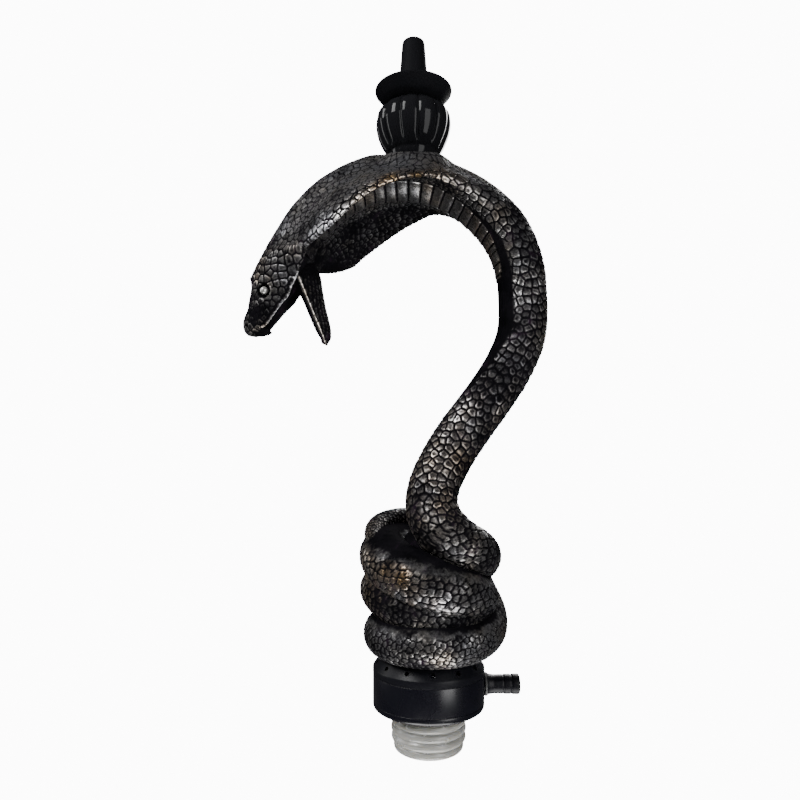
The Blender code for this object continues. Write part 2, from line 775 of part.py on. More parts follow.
def main():
    clear_scene()
    parts = collection("cobra_hookah_stem")
    cutters = collection("cutters")
    resin = material("antiqued_resin", (0.09, 0.085, 0.08), 0.38, 0.75)
    bead = material("eye_bead", (0.72, 0.70, 0.66), 0.15, 0.6)
    painted = material("black_anodised", (0.012, 0.012, 0.014), 0.34, 0.6)
    gloss = material("black_glaze", (0.006, 0.006, 0.008), 0.06, 0.0)
    steel = material("machined_steel", (0.55, 0.55, 0.56), 0.3, 1.0)
    rubber = material("seal_rubber", (0.02, 0.02, 0.02), 0.7, 0.0)
    silicone = material("clear_silicone", (0.83, 0.81, 0.77), 0.35, 0.0, 0.7)
    ball = material("ball_plastic", (0.85, 0.85, 0.83), 0.3, 0.0)

    make_casting(parts, cutters, resin)
    make_eyes(parts, bead)
    make_smoke_tube(parts, silicone)
    make_inserts(parts, cutters, steel)
    make_collar(parts, cutters, painted, steel, rubber)
    make_purge_balls(parts, ball)
    make_stopper(parts, silicone)
    make_hose_port(parts, painted, rubber)
    make_bowl_end(parts, cutters, painted, gloss, steel, rubber)


main()
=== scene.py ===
"""Looks for the cobra hookah stem: the cast snake's scaled skin, the turned collar and the bowl end.

Lengths are in millimetres in the row's frame, and MM turns them into metres. The snake's stations
follow the CAD part's rows, some a little larger, so each skin lies on the solid that it stands for.
The core's dome, the bulb and the dish follow the photo instead, by up to a few millimetres.
"""

import itertools
import math

import bpy
import numpy as np
from mathutils import Matrix, Vector, kdtree


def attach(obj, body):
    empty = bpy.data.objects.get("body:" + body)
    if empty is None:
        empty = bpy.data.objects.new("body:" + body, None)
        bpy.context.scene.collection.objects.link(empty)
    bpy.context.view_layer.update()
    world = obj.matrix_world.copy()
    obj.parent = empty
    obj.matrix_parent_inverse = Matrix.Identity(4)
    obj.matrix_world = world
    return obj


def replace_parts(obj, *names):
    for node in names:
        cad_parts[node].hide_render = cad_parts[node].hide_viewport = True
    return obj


MM = 0.001
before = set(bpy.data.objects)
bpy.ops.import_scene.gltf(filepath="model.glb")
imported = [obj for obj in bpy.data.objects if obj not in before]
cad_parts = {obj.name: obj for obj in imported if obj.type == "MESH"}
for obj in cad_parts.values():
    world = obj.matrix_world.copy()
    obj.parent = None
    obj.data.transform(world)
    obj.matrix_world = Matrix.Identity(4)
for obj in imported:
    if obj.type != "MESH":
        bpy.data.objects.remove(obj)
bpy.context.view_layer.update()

ARCH = np.array((-15.9, 0.0, 257.5))
ARCH_R = 73.0
MOUTH_CORNER = np.array((-79.1, 0.0, 261.9))
UPPER_LIP = np.array((-0.642, 0.0, -0.767))
LOWER_LIP = np.array((0.375, 0.0, -0.927))
UPPER_BACK = np.array((-0.767, 0.0, 0.642))
LOWER_CHIN = np.array((0.927, 0.0, 0.375))
BOWL_X = -9.4
WING_HALF = 3.6
SPINE_SPREAD = 12.0
BEND_SPREAD = 15.0
SEED_GAP = 0.775  # least gap between scale centres, as a share of the scale's size
PLATE_PITCH = 8.6
GOLDEN = 0.618034  # spreads the scales' tones evenly
STAGE_FLOOR = -62.0  # below the pulled stopper

# The photo shows three vent holes clearly. The count and the rest of the ring are guessed.
VENT_COUNT = 13
VENT_FIRST = 2.2  # degrees from the front
VENT_R = 1.4
COLLAR_R = 34.7
CAP_R = 34.75

# Distance from the mouth's corner, half width, back, belly, lift off the lip
SKULL = (
    (46.2, 2, 1.4, 2.4, 4.8),
    (45.9, 4, 3.4, 4.6, 4.7),
    (44.9, 6, 6, 7, 4.5),
    (42.6, 8, 9, 8.6, 4.1),
    (39.2, 9.2, 11.2, 8.2, 3.7),
    (36.2, 9.6, 12.4, 5.4, 3.3),
    (33, 10.1, 14, 3.8, 3),
    (26, 11.6, 18.2, 3.4, 3),
    (18, 13.2, 23, 3.4, 3),
    (9, 14.8, 26.8, 4.6, 3.6),
)
# Distance from the mouth's corner, half width, mouth floor, chin
LOWER_JAW = (
    (39.6, 1.6, 0.4, 0.8),
    (39, 3.2, 1.4, 2.4),
    (37.6, 5, 2.6, 4.2),
    (35, 6.2, 3.4, 5.6),
    (29.5, 7.8, 4.3, 7.2),
    (18.4, 9.8, 4.6, 8.8),
    (8, 11.6, 4.8, 10.9),
    (-4, 12.9, 6.2, 13),
    (-18, 10, 7, 8),
)
# Angle round the arch, half width, droop of the hood's edge, back, belly
HOOD = (
    (166, 21.4, 7, 18.8, 13.2),
    (154, 38.4, 20, 15.6, 13.2),
    (141, 47.4, 26.5, 15.2, 13.2),
    (126, 49.6, 27, 15.2, 13.2),
    (110, 48.2, 25, 15.2, 13.4),
    (96, 44.8, 21, 15, 14),
    (83, 38.4, 15.5, 13.8, 14.6),
    (69, 28.4, 8.5, 13.4, 15),
    (52, 22, 5.3, 14.4, 14.4),
    (34, 19, 3.6, 16.2, 13.8),
    (18, 16.8, 1.6, 16.4, 13.6),
    (4, 15.4, 0, 16.3, 14),
)
# x, y, z, half width
S_BEND = (
    (58.1, 0, 234, 15.2),
    (50.6, 0, 213, 15.2),
    (38.1, 0, 193, 15.3),
    (23.4, -1, 173, 15.5),
    (10.8, -4, 153.5, 15.5),
    (2.8, -10, 136.5, 15.5),
    (1.6, -16.5, 123, 15.7),
)
# Angle round the axis from the front through +X, distance from the axis, height, half width
COIL = (
    (18, 22.4, 111.5, 15.9),
    (40, 26.8, 102.4, 15.9),
    (66, 28.6, 96.6, 15.7),
    (95, 29.6, 92.6, 15.2),
    (135, 29, 91.5, 15),
    (180, 28.5, 94, 14.9),
    (225, 28, 97, 15),
    (262, 27.4, 96, 15.2),
    (300, 27.8, 91.5, 16),
    (330, 28.4, 86.5, 16.3),
    (360, 29, 81, 16.3),
    (410, 29.6, 72.8, 15.5),
    (450, 28, 67.5, 14.2),
    (500, 27, 66.5, 13.8),
    (540, 26.5, 68, 13.8),
    (585, 27, 71.5, 14),
    (630, 28.2, 73.5, 14.4),
    (675, 26.6, 68, 14.2),
    (720, 25, 61.5, 13.8),
    (770, 26.5, 57.5, 13.4),
    (810, 28, 54.5, 13.4),
    (855, 28.5, 51, 13.4),
    (900, 29, 48, 13.4),
    (945, 28.4, 46.8, 13.6),
    (990, 26.6, 46.4, 13.8),
    (1035, 28.6, 46.3, 13.9),
    (1080, 30.4, 46.3, 13.9),
    (1130, 32.4, 47, 13.8),
    (1163, 34.9, 50.5, 13.7),
    (1188, 37.6, 57.5, 13.7),
    (1205, 40.2, 65, 13.5),
    (1217, 41.6, 76, 13.1),
    (1232, 41, 91, 12.4),
    (1252, 39, 103.5, 11.2),
    (1280, 36, 111, 9.8),
    (1310, 34.4, 111.8, 8.2),
    (1335, 34.2, 109.4, 6.8),
    (1360, 34.4, 104, 5.2),
    (1380, 34.2, 98.6, 3.8),
    (1395, 33.6, 95, 1.8),
)
# A row's columns after its path (0 to 2) and its back's direction (3 to 5)
HALF, BACK, BELLY, DROOP, TURNS, BOW = 6, 7, 8, 9, 10, 11
TANGENT = slice(12, 15)


def smoothstep(low, high, value):
    t = np.clip((value - low) / (high - low), 0.0, 1.0)
    return t * t * (3.0 - 2.0 * t)


def unit(rows):
    return rows / np.linalg.norm(rows, axis=-1, keepdims=True)


def bell(away, width):
    """1 at no distance, falling to 0 over the width on either side."""
    return np.exp(-((away / width) ** 2))


def toward(value, target, share):
    """The value, moved to the target where the share is 1."""
    return value * (1 - share) + target * share


def coarseness():
    return 1.0


def in_scene(obj):
    bpy.context.scene.collection.objects.link(obj)
    return obj


def smooth_rows(rows, per_gap):
    """A Catmull-Rom curve through rows of numbers."""
    rows = np.array(rows, float)
    padded = np.vstack([2 * rows[0] - rows[1], rows, 2 * rows[-1] - rows[-2]])
    made = []
    for a, b, c, d in zip(padded, padded[1:], padded[2:], padded[3:]):
        for k in range(per_gap):
            t = k / per_gap
            bend = (2 * a - 5 * b + 4 * c - d) * t * t + (3 * b - a - 3 * c + d) * t**3
            made.append(b + 0.5 * ((c - a) * t + bend))
    made.append(rows[-1])
    return np.array(made)


def evenly(rows, step):
    """Rows at that spacing along their path."""
    ends = np.linalg.norm(np.diff(rows[:, :3], axis=0), axis=1)
    run = np.concatenate([[0.0], np.cumsum(ends)])
    wanted = np.linspace(0.0, run[-1], max(2, round(run[-1] / step) + 1))
    return np.column_stack([np.interp(wanted, run, column) for column in rows.T])


def round_about(angle, radius, height):
    """A point at that angle from the front (-Y), turning through +X."""
    a = math.radians(angle)
    return np.array((radius * math.sin(a), -radius * math.cos(a), height))


def cobra_rows():
    """From the snout, over the arch and down the S bend, to the tail's tip."""
    rows = []
    for t, half, back, belly, lift in SKULL:
        place = MOUTH_CORNER + UPPER_LIP * t + UPPER_BACK * lift
        rows.append([*place, *UPPER_BACK, half, back, belly, 0, 0, 200])
    for angle, half, droop, back, belly in HOOD:
        a = math.radians(angle)
        dorsal = np.array((math.cos(a), 0.0, math.sin(a)))
        rows.append([*(ARCH + dorsal * ARCH_R), *dorsal, half, back, belly, droop, 0, angle])
    for k, (x, y, z, half) in enumerate(S_BEND):
        share = max(0.0, (k - 2) / (len(S_BEND) - 2))
        dorsal = unit(np.array((1.0 - 0.6 * share, -0.8 * share, -0.5 * (1.0 - share))))
        rows.append([x, y, z, *dorsal, half, half, half, 0, 2 * k, 0])
    for angle, out, height, half in smooth_rows(COIL, 4):
        tilt = np.interp(angle, (1090.0, 1260.0), (0.7, -0.55))
        dorsal = unit(round_about(angle, 1.0, tilt))
        rows.append([*round_about(angle, out, height), *dorsal, half, half, half, 0, angle, 0])
    return eased_turns(with_tangents(smooth_rows(rows, 10)))


def jaw_rows():
    rows = []
    for t, half, floor, chin in LOWER_JAW:
        rows.append([*(MOUTH_CORNER + LOWER_LIP * t), *LOWER_CHIN, half, chin, floor, 0, 0, 300])
    return with_tangents(smooth_rows(rows, 10))


def with_tangents(rows):
    return np.column_stack([rows, unit(np.gradient(rows[:, :3], axis=0))])


def eased_turns(rows):
    """Spreads the bend behind the head over more of the path, so that no two rings cross there."""
    run = np.concatenate([[0.0], np.cumsum(np.linalg.norm(np.diff(rows[:, :3], axis=0), axis=1))])
    near = rows[:, BOW] > 60.0
    spread = bell(run[near][:, None] - run[near][None], BEND_SPREAD) * np.gradient(run[near])[None]
    share = smoothstep(70.0, 120.0, rows[near, BOW])[:, None]
    eased = rows.copy()
    for columns in (slice(3, 6), TANGENT):
        bent = rows[near, columns]
        eased[near, columns] = unit((1 - share) * bent + share * unit(spread @ bent))
    return eased


class Skin:
    """A grid of points on a sweep: one ring for each row, count points round each ring.

    arc is the distance round the ring from the middle of the back, edge the arc of the widest
    point, half_girth the arc of the middle of the belly. All three are in millimetres.
    """

    def __init__(self, rows, step, count):
        rows = evenly(rows, step)
        self.rows, self.count = rows, count
        turn = np.linspace(0.0, 2 * math.pi, 721)
        side, up = np.sin(turn), np.cos(turn)
        half, back, belly, droop = (rows[:, k, None] for k in (HALF, BACK, BELLY, DROOP))
        hooded = np.clip((half - 16.0) / 14.0, 0.0, 1.0) * np.clip(droop / 3.0, 0.0, 1.0)
        depth = np.where(up > 0, back, belly)
        spine = bell(half * side, SPINE_SPREAD)
        edge = np.sqrt(np.clip(1.0 - np.abs(side) ** 6, 0.0, 1.0))
        wing = (WING_HALF + (depth - WING_HALF) * spine) * edge
        thick = (1.0 - hooded) * depth * np.abs(up) + hooded * wing
        across = half * side
        lift = np.where(up >= 0, thick, -thick) - np.clip(droop, 0, None) * np.abs(side) ** 1.6
        run = np.cumsum(np.hypot(np.diff(across, axis=1), np.diff(lift, axis=1)), axis=1)
        run = np.column_stack([np.zeros(len(rows)), run])
        girth = run[:, -1]
        places = np.arange(count) / count
        shapes = (across, lift)
        fine = [[np.interp(places * g, r, v) for g, r, v in zip(girth, run, what)] for what in shapes]
        across, lift = np.array(fine)
        along = rows[:, TANGENT]
        dorsal = rows[:, 3:6]
        dorsal = unit(dorsal - along * (dorsal * along).sum(axis=1, keepdims=True))
        lateral = np.cross(dorsal, along)
        self.points = (
            rows[:, None, :3] + lateral[:, None] * across[..., None] + dorsal[:, None] * lift[..., None]
        )
        arc = places[None] * girth[:, None]
        self.arc = np.minimum(arc, girth[:, None] - arc)
        self.half_girth = girth[:, None] / 2
        self.edge = run[:, 180][:, None]
        step_s = np.linalg.norm(np.diff(rows[:, :3], axis=0), axis=1)
        self.s = np.concatenate([[0.0], np.cumsum(step_s)])[:, None] + np.zeros_like(self.arc)
        down = np.gradient(self.points, axis=0)
        round_ = np.roll(self.points, -1, axis=1) - np.roll(self.points, 1, axis=1)
        normals = unit(np.cross(round_, down) + 1e-9)
        outward = self.points - rows[:, None, :3]
        self.flip = (normals * outward).sum() < 0
        self.normals = -normals if self.flip else normals

    def column(self, k):
        return self.rows[:, k][:, None] + np.zeros_like(self.arc)


def crowded(cells, key, reach, point, run, gap, chunk):
    """Whether a chosen point lies nearer than the gap, on this stretch of the path."""
    for place in itertools.product(*(range(v - reach, v + reach + 1) for v in key)):
        for q, t in cells.get(place, ()):
            dx, dy, dz = q[0] - point[0], q[1] - point[1], q[2] - point[2]
            if dx * dx + dy * dy + dz * dz < gap * gap and abs(t - run) < chunk:
                return True
    return False


def seeds_on(skin, size, rng, chunk=40.0):
    """Scale centres as (path distance, point): no two are nearer than the local size allows."""
    cells = {}
    chosen = []
    order = rng.permutation(skin.arc.size)
    points, s, sizes = skin.points.reshape(-1, 3), skin.s.ravel(), size.ravel()
    cell = 4.0
    for index in order:
        gap = sizes[index] * SEED_GAP
        if gap < 0.5:
            continue
        p = points[index]
        key = tuple(int(v // cell) for v in p)
        if not crowded(cells, key, int(gap // cell) + 1, p, s[index], gap, chunk):
            cells.setdefault(key, []).append((p, s[index]))
            chosen.append((s[index], p))
    return chosen


def cell_fields(skin, seeds, chunk=45.0):
    """For each point, the distance to its cell's border, a random number of its cell, and how far
    it lies tailward of the cell's centre."""
    border = np.zeros(skin.arc.shape)
    tone = np.zeros(skin.arc.shape)
    behind = np.zeros(skin.arc.shape)
    for start in np.arange(0.0, skin.s[-1, 0] + 0.01, chunk):
        picked = [(k, p) for k, (s, p) in enumerate(seeds) if start - 14.0 < s < start + chunk + 14.0]
        rings = np.nonzero((skin.s[:, 0] >= start) & (skin.s[:, 0] < start + chunk))[0]
        if len(picked) < 4 or not len(rings):
            continue
        tree = kdtree.KDTree(len(picked))
        for number, (k, p) in enumerate(picked):
            tree.insert(p, number)
        tree.balance()
        for i in rings:
            for j in range(skin.count):
                (a, number, da), (b, _, db), (c, _, dc) = tree.find_n(skin.points[i, j], 3)
                first = (db * db - da * da) / (2.0 * (b - a).length)
                second = (dc * dc - da * da) / (2.0 * (c - a).length)
                border[i, j] = min(first, second)
                tone[i, j] = (picked[number][0] * GOLDEN) % 1.0
                behind[i, j] = skin.s[i, 0] - seeds[picked[number][0]][0]
    return border, tone, behind


def scale_relief(border, tone, behind, size, hollow=1.0):
    """A scale's height from 0 in its groove to 1: its tailward edge stands proud and its middle is sunk."""
    q = border / (0.5 * size)
    body = smoothstep(0.04, 0.27, q) * (0.60 + 0.40 * smoothstep(-0.40, 0.45, behind / size))
    sunk = smoothstep(0.42, 0.74, q) * np.interp(tone, (0.0, 0.35, 0.55, 1.0), (0.05, 0.10, 0.34, 0.55))
    return body * (1.0 - sunk * hollow)


def wobble(points, scale, seed):
    """Smooth noise about 0, from a few crossed sine waves."""
    rng = np.random.default_rng(seed)
    total = np.zeros(points.shape[:-1])
    for _ in range(7):
        way = unit(rng.normal(size=3)) * rng.uniform(0.6, 1.7) * 2 * math.pi / scale
        total += np.sin(points @ way + rng.uniform(0, 6.28))
    return total / 3.7


def add_mesh(name, points, faces, body="stem"):
    mesh = bpy.data.meshes.new(name)
    mesh.from_pydata((np.asarray(points) * MM).tolist(), [], faces)
    mesh.validate()
    mesh.polygons.foreach_set("use_smooth", [True] * len(mesh.polygons))
    obj = in_scene(bpy.data.objects.new(name, mesh))
    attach(obj, body)
    return obj


def skin_object(name, skin, lift, finish, **fields):
    """The skin as a closed mesh, raised by lift along its normals, with its fields as attributes."""
    points = skin.points + skin.normals * lift[..., None]
    rings, count = lift.shape
    index = np.arange(rings * count).reshape(rings, count)
    a, b = index[:-1], np.roll(index[:-1], -1, axis=1)
    c, d = np.roll(index[1:], -1, axis=1), index[1:]
    quads = np.stack([a, b, c, d], axis=-1).reshape(-1, 4)
    if not skin.flip:
        quads = quads[:, ::-1]
    ends = [index[0].tolist(), index[-1].tolist()]
    ends[1 if not skin.flip else 0].reverse()
    faces = quads.tolist() + ends
    obj = add_mesh(name, points.reshape(-1, 3), faces)
    mesh = obj.data
    for face in mesh.polygons[-2:]:
        face.use_smooth = False
    for field, values in fields.items():
        layer = mesh.attributes.new(field, "FLOAT", "POINT")
        layer.data.foreach_set("value", np.clip(values, 0, 1).astype(np.float32).ravel())
    mesh.materials.append(finish)
    return obj


def dial(node, values):
    """Sets a node's inputs by their names."""
    for name, value in values.items():
        node.inputs[name].default_value = value


def snake_material():
    """Black resin, dry-brushed with antique silver on what stands proud. The silver field also carries
    painted shade in the coils' creases and painted highlights on the neck and the hood's rim.
    """
    made = bpy.data.materials.new("antiqued_resin_look")
    made.use_nodes = True
    tree = made.node_tree
    nodes, links = tree.nodes, tree.links
    shader = nodes["Principled BSDF"]

    def attribute(name):
        node = nodes.new("ShaderNodeAttribute")
        node.attribute_name = name
        return node.outputs["Fac"]

    def math_node(operation, a, b=None, c=None, clamp=False):
        node = nodes.new("ShaderNodeMath")
        node.operation = operation
        node.use_clamp = clamp
        for socket, value in zip(node.inputs, (a, b, c)):
            if value is None:
                continue
            if isinstance(value, (int, float)):
                socket.default_value = value
            else:
                links.new(value, socket)
        return node.outputs[0]

    def noise(scale, detail, roughness):
        coords = nodes.new("ShaderNodeTexCoord")
        node = nodes.new("ShaderNodeTexNoise")
        links.new(coords.outputs["Object"], node.inputs["Vector"])
        dial(node, {"Scale": scale, "Detail": detail, "Roughness": roughness})
        return node.outputs["Fac"]

    def ramp(value, *stops):
        node = nodes.new("ShaderNodeValToRGB")
        links.new(value, node.inputs["Fac"])
        elements = node.color_ramp.elements
        while len(elements) < len(stops):
            elements.new(0.5)
        for element, (place, colour) in zip(elements, stops):
            element.position = place
            element.color = (*colour, 1.0)
        return node.outputs["Color"]

    def mix(factor, a, b):
        node = nodes.new("ShaderNodeMix")
        node.data_type = "RGBA"
        links.new(factor, node.inputs["Factor"])
        for socket, value in ((node.inputs[6], a), (node.inputs[7], b)):
            if isinstance(value, tuple):
                socket.default_value = (*value, 1.0)
            else:
                links.new(value, socket)
        return node.outputs[2]

    relief, tone, silver, gold = (attribute(n) for n in ("relief", "tone", "silver", "gold"))
    raised = ramp(relief, (0.22, (0, 0, 0)), (0.60, (0.34,) * 3), (0.95, (1, 1, 1)))
    brush_noise_and_highlight = ramp(noise(520.0, 6.0, 0.72), (0.36, (0.25,) * 3), (0.62, (1, 1, 1)))
    patches = ramp(noise(62.0, 3.0, 0.6), (0.36, (0.35,) * 3), (0.62, (1, 1, 1)))
    each = math_node("MULTIPLY_ADD", tone, 0.65, 0.40)
    dry_brush_and_painted_light = math_node("MULTIPLY", raised, brush_noise_and_highlight)
    dry_brush_and_painted_light = math_node("MULTIPLY", dry_brush_and_painted_light, patches)
    dry_brush_and_painted_light = math_node("MULTIPLY", dry_brush_and_painted_light, each)
    dry_brush_and_painted_light = math_node("MULTIPLY", dry_brush_and_painted_light, silver, clamp=True)
    dry_brush_and_painted_light = ramp(dry_brush_and_painted_light, (0.02, (0, 0, 0)), (0.13, (0.12,) * 3), (0.32, (0.60,) * 3), (0.52, (1, 1, 1)))

    under = ramp(
        noise(95.0, 4.0, 0.6),
        (0.35, (0.0020, 0.0020, 0.0024)),
        (0.62, (0.0044, 0.0040, 0.0050)),
        (0.80, (0.016, 0.008, 0.016)),
    )
    metal = ramp(
        noise(38.0, 3.0, 0.6),
        (0.36, (0.50, 0.50, 0.53)),
        (0.55, (0.56, 0.54, 0.52)),
        (0.74, (0.54, 0.44, 0.34)),
    )
    metal = mix(gold, metal, (0.66, 0.42, 0.18))
    colour = mix(dry_brush_and_painted_light, under, metal)
    links.new(colour, shader.inputs["Base Color"])
    rough = math_node("MULTIPLY_ADD", noise(420.0, 5.0, 0.7), 0.16, 0.44)
    polish = math_node("MULTIPLY", silver, 0.18, clamp=True)
    rough = math_node("SUBTRACT", rough, polish)
    shader.inputs["Specular IOR Level"].default_value = 0.0
    links.new(rough, shader.inputs["Roughness"])
    shine = math_node("MULTIPLY_ADD", dry_brush_and_painted_light, 5.0, 0.012, clamp=True)
    links.new(shine, shader.inputs["Metallic"])
    bump = nodes.new("ShaderNodeBump")
    dial(bump, {"Strength": 0.35, "Distance": 0.00025})
    links.new(noise(900.0, 5.0, 0.65), bump.inputs["Height"])
    links.new(bump.outputs["Normal"], shader.inputs["Normal"])
    return made


def body_fields(skin, rng):
    """Relief in millimetres and the finish's fields, painted shade and highlights among them, for every part
    of the snake but its jaws.
    """
    turns, bow = skin.column(TURNS), skin.column(BOW)
    up = skin.normals[..., 2]
    belly = skin.half_girth - skin.arc
    rim = np.abs(skin.arc - skin.edge)
    under = skin.arc > skin.edge
    hooded = smoothstep(30.0, 62.0, bow) * (1.0 - smoothstep(150.0, 168.0, bow))

    sizes = (5.3, 4.9, 4.8, 4.7, 4.0, 3.8, 3.4, 2.8)
    size = np.interp(turns, (0, 60, 200, 400, 700, 1080, 1250, 1395), sizes)
    size = size * (1.0 - 0.12 * hooded)
    headed = smoothstep(150.0, 172.0, bow)
    size = size * (1.0 - 0.10 * headed)
    plate_half = np.interp(bow, (0, 8, 30, 60, 100, 140, 155, 163), (5, 9, 13.5, 16, 16.5, 15, 11, 5))
    plate_half = plate_half * (bow < 150) * (bow > 6)
    plates = under & (belly < plate_half) & (bow > 6)
    fine = under & (belly >= plate_half) & (belly < plate_half + 7.0) & (bow > 40) & (bow < 160)
    fine &= rim > 4.0
    wing_under = under & (belly >= plate_half + 7.0) & (bow > 40) & (bow < 160) & (rim > 3.0)
    size = np.where(fine, 3.4, size)
    size = np.where(wing_under, 4.3, size)
    size = np.where(plates, 7.0, size)
    size = np.where((hooded > 0.5) & ~under & (rim < 9.0), 7.4, size)
    seeds = seeds_on(skin, np.where(plates, 0.0, size), rng)
    border, tone, behind = cell_fields(skin, seeds)
    hollow = np.interp(turns, (0, 20, 90, 700, 900, 1400), (1.0, 0.85, 0.35, 0.5, 0.75, 0.6))
    scales = scale_relief(border, tone, behind, size, hollow)

    depth = np.interp(turns, (0, 60, 300, 700, 1080, 1300, 1395), (0.85, 0.85, 0.75, 0.6, 0.6, 0.45, 0.3))
    back_soft = hooded * (~under) * smoothstep(8.0, 14.0, rim)
    cracked = smoothstep(0.02, 0.17, border / (0.5 * size)) * (0.80 + 0.12 * tone)
    cracking = np.maximum(back_soft, 0.8 * hooded * (~under))
    scales = toward(scales, cracked, cracking)
    depth = depth * (1.0 - 0.62 * back_soft) * (1.0 - 0.25 * hooded)
    depth = np.where(fine, 0.35, depth)
    silver = np.interp(bow, (0, 12, 30, 60, 150, 170), (1.0, 0.80, 0.75, 0.75, 0.8, 0.85))
    silver = silver * (0.26 + 0.62 * smoothstep(-0.2, 1.1, wobble(skin.points, 34.0, 17)))
    # Two fixed bands of extra silver on the neck, set where highlights fall: painted highlight.
    brush_noise_and_highlight = near_line(skin.points, (22.0, -14.0, 208.0), (1.0, -22.0, 134.0), 8.5)
    highlight_stroke = near_line(skin.points, (42.0, -15.0, 290.0), (54.0, -15.0, 250.0), 7.0)
    brush_noise_and_highlight = np.maximum(brush_noise_and_highlight, highlight_stroke * 0.6)
    silver = silver + 0.95 * brush_noise_and_highlight
    # Less silver where the coils' surface faces in, towards the creases between strands: painted shade.
    out = unit(np.concatenate([skin.points[..., :2], 0 * up[..., None]], axis=-1) + 1e-9)
    outward = (skin.normals * out).sum(axis=-1)
    crease_shade = (1.0 - smoothstep(0.10, 0.72, outward)) * smoothstep(60.0, 130.0, turns)
    crease_shade = crease_shade * (1.0 - smoothstep(1120.0, 1180.0, turns))
    silver = silver * (1.0 - 0.85 * crease_shade)
    # Silver scaled strand by strand, highest on the second coil and the lowest ring, where the light falls
    # most: partly painted highlight, partly uneven brushing.
    places = (0, 200, 270, 370, 430, 560, 620, 770, 860, 1140, 1200)
    silver = silver * np.interp(turns, places, (1, 1, 1.5, 1.9, 1.1, 0.8, 0.8, 0.8, 1.3, 1.2, 1.6))
    on_back = hooded * (~under)
    silver = toward(silver, 0.36, on_back)
    tone = tone * (1.0 - 0.6 * on_back) + 0.36 * on_back
    silver = np.where(fine, 0.55, silver)

    # The smooth side of the coils, which faces up and in
    inner = smoothstep(0.36, 0.58, up + 0.10 * wobble(skin.points, 22.0, 3))
    inner = inner * smoothstep(150.0, 235.0, turns) * (1.0 - smoothstep(1150.0, 1200.0, turns))
    scales_kept = 1.0 - inner
    # On the smooth side the silver fades where it faces straight up into the strand above: painted shade.
    silver = silver * (1.0 - inner) + 0.30 * inner * (1.0 - smoothstep(0.50, 0.88, up))
    grain = 0.10 * wobble(skin.points * np.array((1.0, 1.0, 1.6)), 5.0, 5)
    lift = depth * scales * scales_kept + inner * (0.55 * depth + grain)
    relief = scales * scales_kept + inner * (0.76 + 0.5 * grain)

    # The neck's inner side, smooth and dark beside its plates
    place = bow - 10.0 * np.where(bow > 0.5, 0.0, turns)
    dark_half = np.interp(place, (-75.0, -45.0, 0.0, 30.0, 60.0), (0.0, 8.0, 16.0, 17.5, 15.5))
    bare = smoothstep(1.6, -1.6, belly - dark_half) * (1.0 - smoothstep(56.0, 74.0, bow)) * (dark_half > 0.5)
    lift = toward(lift, 0.18, bare)
    relief = toward(relief, 0.45, bare)
    silver = silver * (1 - 0.88 * bare)

    # The edge of the belly, a thin raised line low on the second coil
    line = bell(up + 0.62, 0.07) * smoothstep(262.0, 285.0, turns)
    line = line * (1 - smoothstep(372.0, 395.0, turns))
    lift = lift + 0.55 * line
    relief = np.maximum(relief, 0.66 * line)

    # Belly plates
    along = skin.s / PLATE_PITCH + 0.10 * wobble(skin.points, 40.0, 7)
    part = along - np.floor(along)
    gap = np.minimum(part, 1.0 - part) * PLATE_PITCH
    side_gap = plate_half - belly
    plate = smoothstep(0.15, 1.0, gap) * smoothstep(0.0, 1.0, side_gap) * (0.55 + 0.45 * part)
    lift = np.where(plates, 1.15 * plate, lift)
    relief = np.where(plates, plate * (0.80 + 0.20 * part), relief)
    tone = np.where(plates, 0.60 + 0.4 * ((np.floor(along) * 0.618) % 1.0), tone)
    silver = np.where(plates, 1.0, silver)

    # The underside of the wings, with small low scales
    lift = np.where(wing_under, 0.34 * scales, lift)
    silver = np.where(wing_under, 0.20, silver)

    # The hood's bright rim: silver and gold along its edge, partly dry-brushed paint and partly a painted
    # highlight
    rim_silver_and_highlight = hooded * bell(rim, 8.0) * (~under | (rim < 2.0))
    silver = silver + 0.60 * rim_silver_and_highlight
    relief = relief + 0.22 * rim_silver_and_highlight * (relief > 0.35)
    gold = 1.0 * rim_silver_and_highlight * bell(bow - 92.0, 26.0)
    gold = gold + 0.60 * bell(turns - 330.0, 34.0) * (1 - inner)
    gold = gold + 0.30 * bell(turns - 14.0, 12.0) * (bow < 1)
    gold = gold + 0.45 * bell(turns - 655.0, 45.0)
    gold = gold + 0.55 * plates * bell(bow - 34.0, 16.0)
    gold = np.clip(gold * (0.65 + 0.6 * wobble(skin.points, 18.0, 11)), 0, 0.9)

    # Throat: smooth and dark where the belly meets the lower jaw
    throat = smoothstep(138.0, 151.0, bow) * under * smoothstep(1.0, 4.0, rim)
    lift = toward(lift, 0.2, throat)
    relief = toward(relief, 0.45, throat)
    silver = toward(silver, 0.30, throat)

    flat = 0.12 * wobble(skin.points, 9.0, 13)
    lift = lift - 0.40 + flat * 0.5
    return lift, relief, tone, silver, gold * (1 - throat)


def mound(skin, lift):
    """Raises the back into the low mound that the bulb stands on."""
    points = skin.points + skin.normals * lift[..., None]
    height = points[..., 2]
    away = np.hypot(points[..., 0] - BOWL_X, points[..., 1])
    seat = 341.9 - 3.2 * (np.clip(points[..., 1], -18, 18) / 15.0) ** 2
    top = seat - 0.95 * np.clip(away - 15.5, 0, None) + 0.6 * (lift + 0.35)
    shoulder = 4.0
    mixed = smoothstep(-shoulder, shoulder, top - height)
    joined = height + mixed * np.clip(top - height, 0, None) + shoulder * mixed * (1 - mixed) * 0.5
    on_top = smoothstep(-0.05, 0.25, skin.normals[..., 2]) * (skin.arc <= skin.edge + 1.0)
    inside = smoothstep(4.0, 13.0, skin.edge - skin.arc)
    raised = height + (joined - height) * on_top * inside * (away < 60)
    share = smoothstep(15.2, 27.0, away)
    seated = raised * share + (seat + 0.6 * (lift + 0.35)) * (1 - share)
    return np.where((height > 318) & (on_top > 0.5), seated, raised) - height


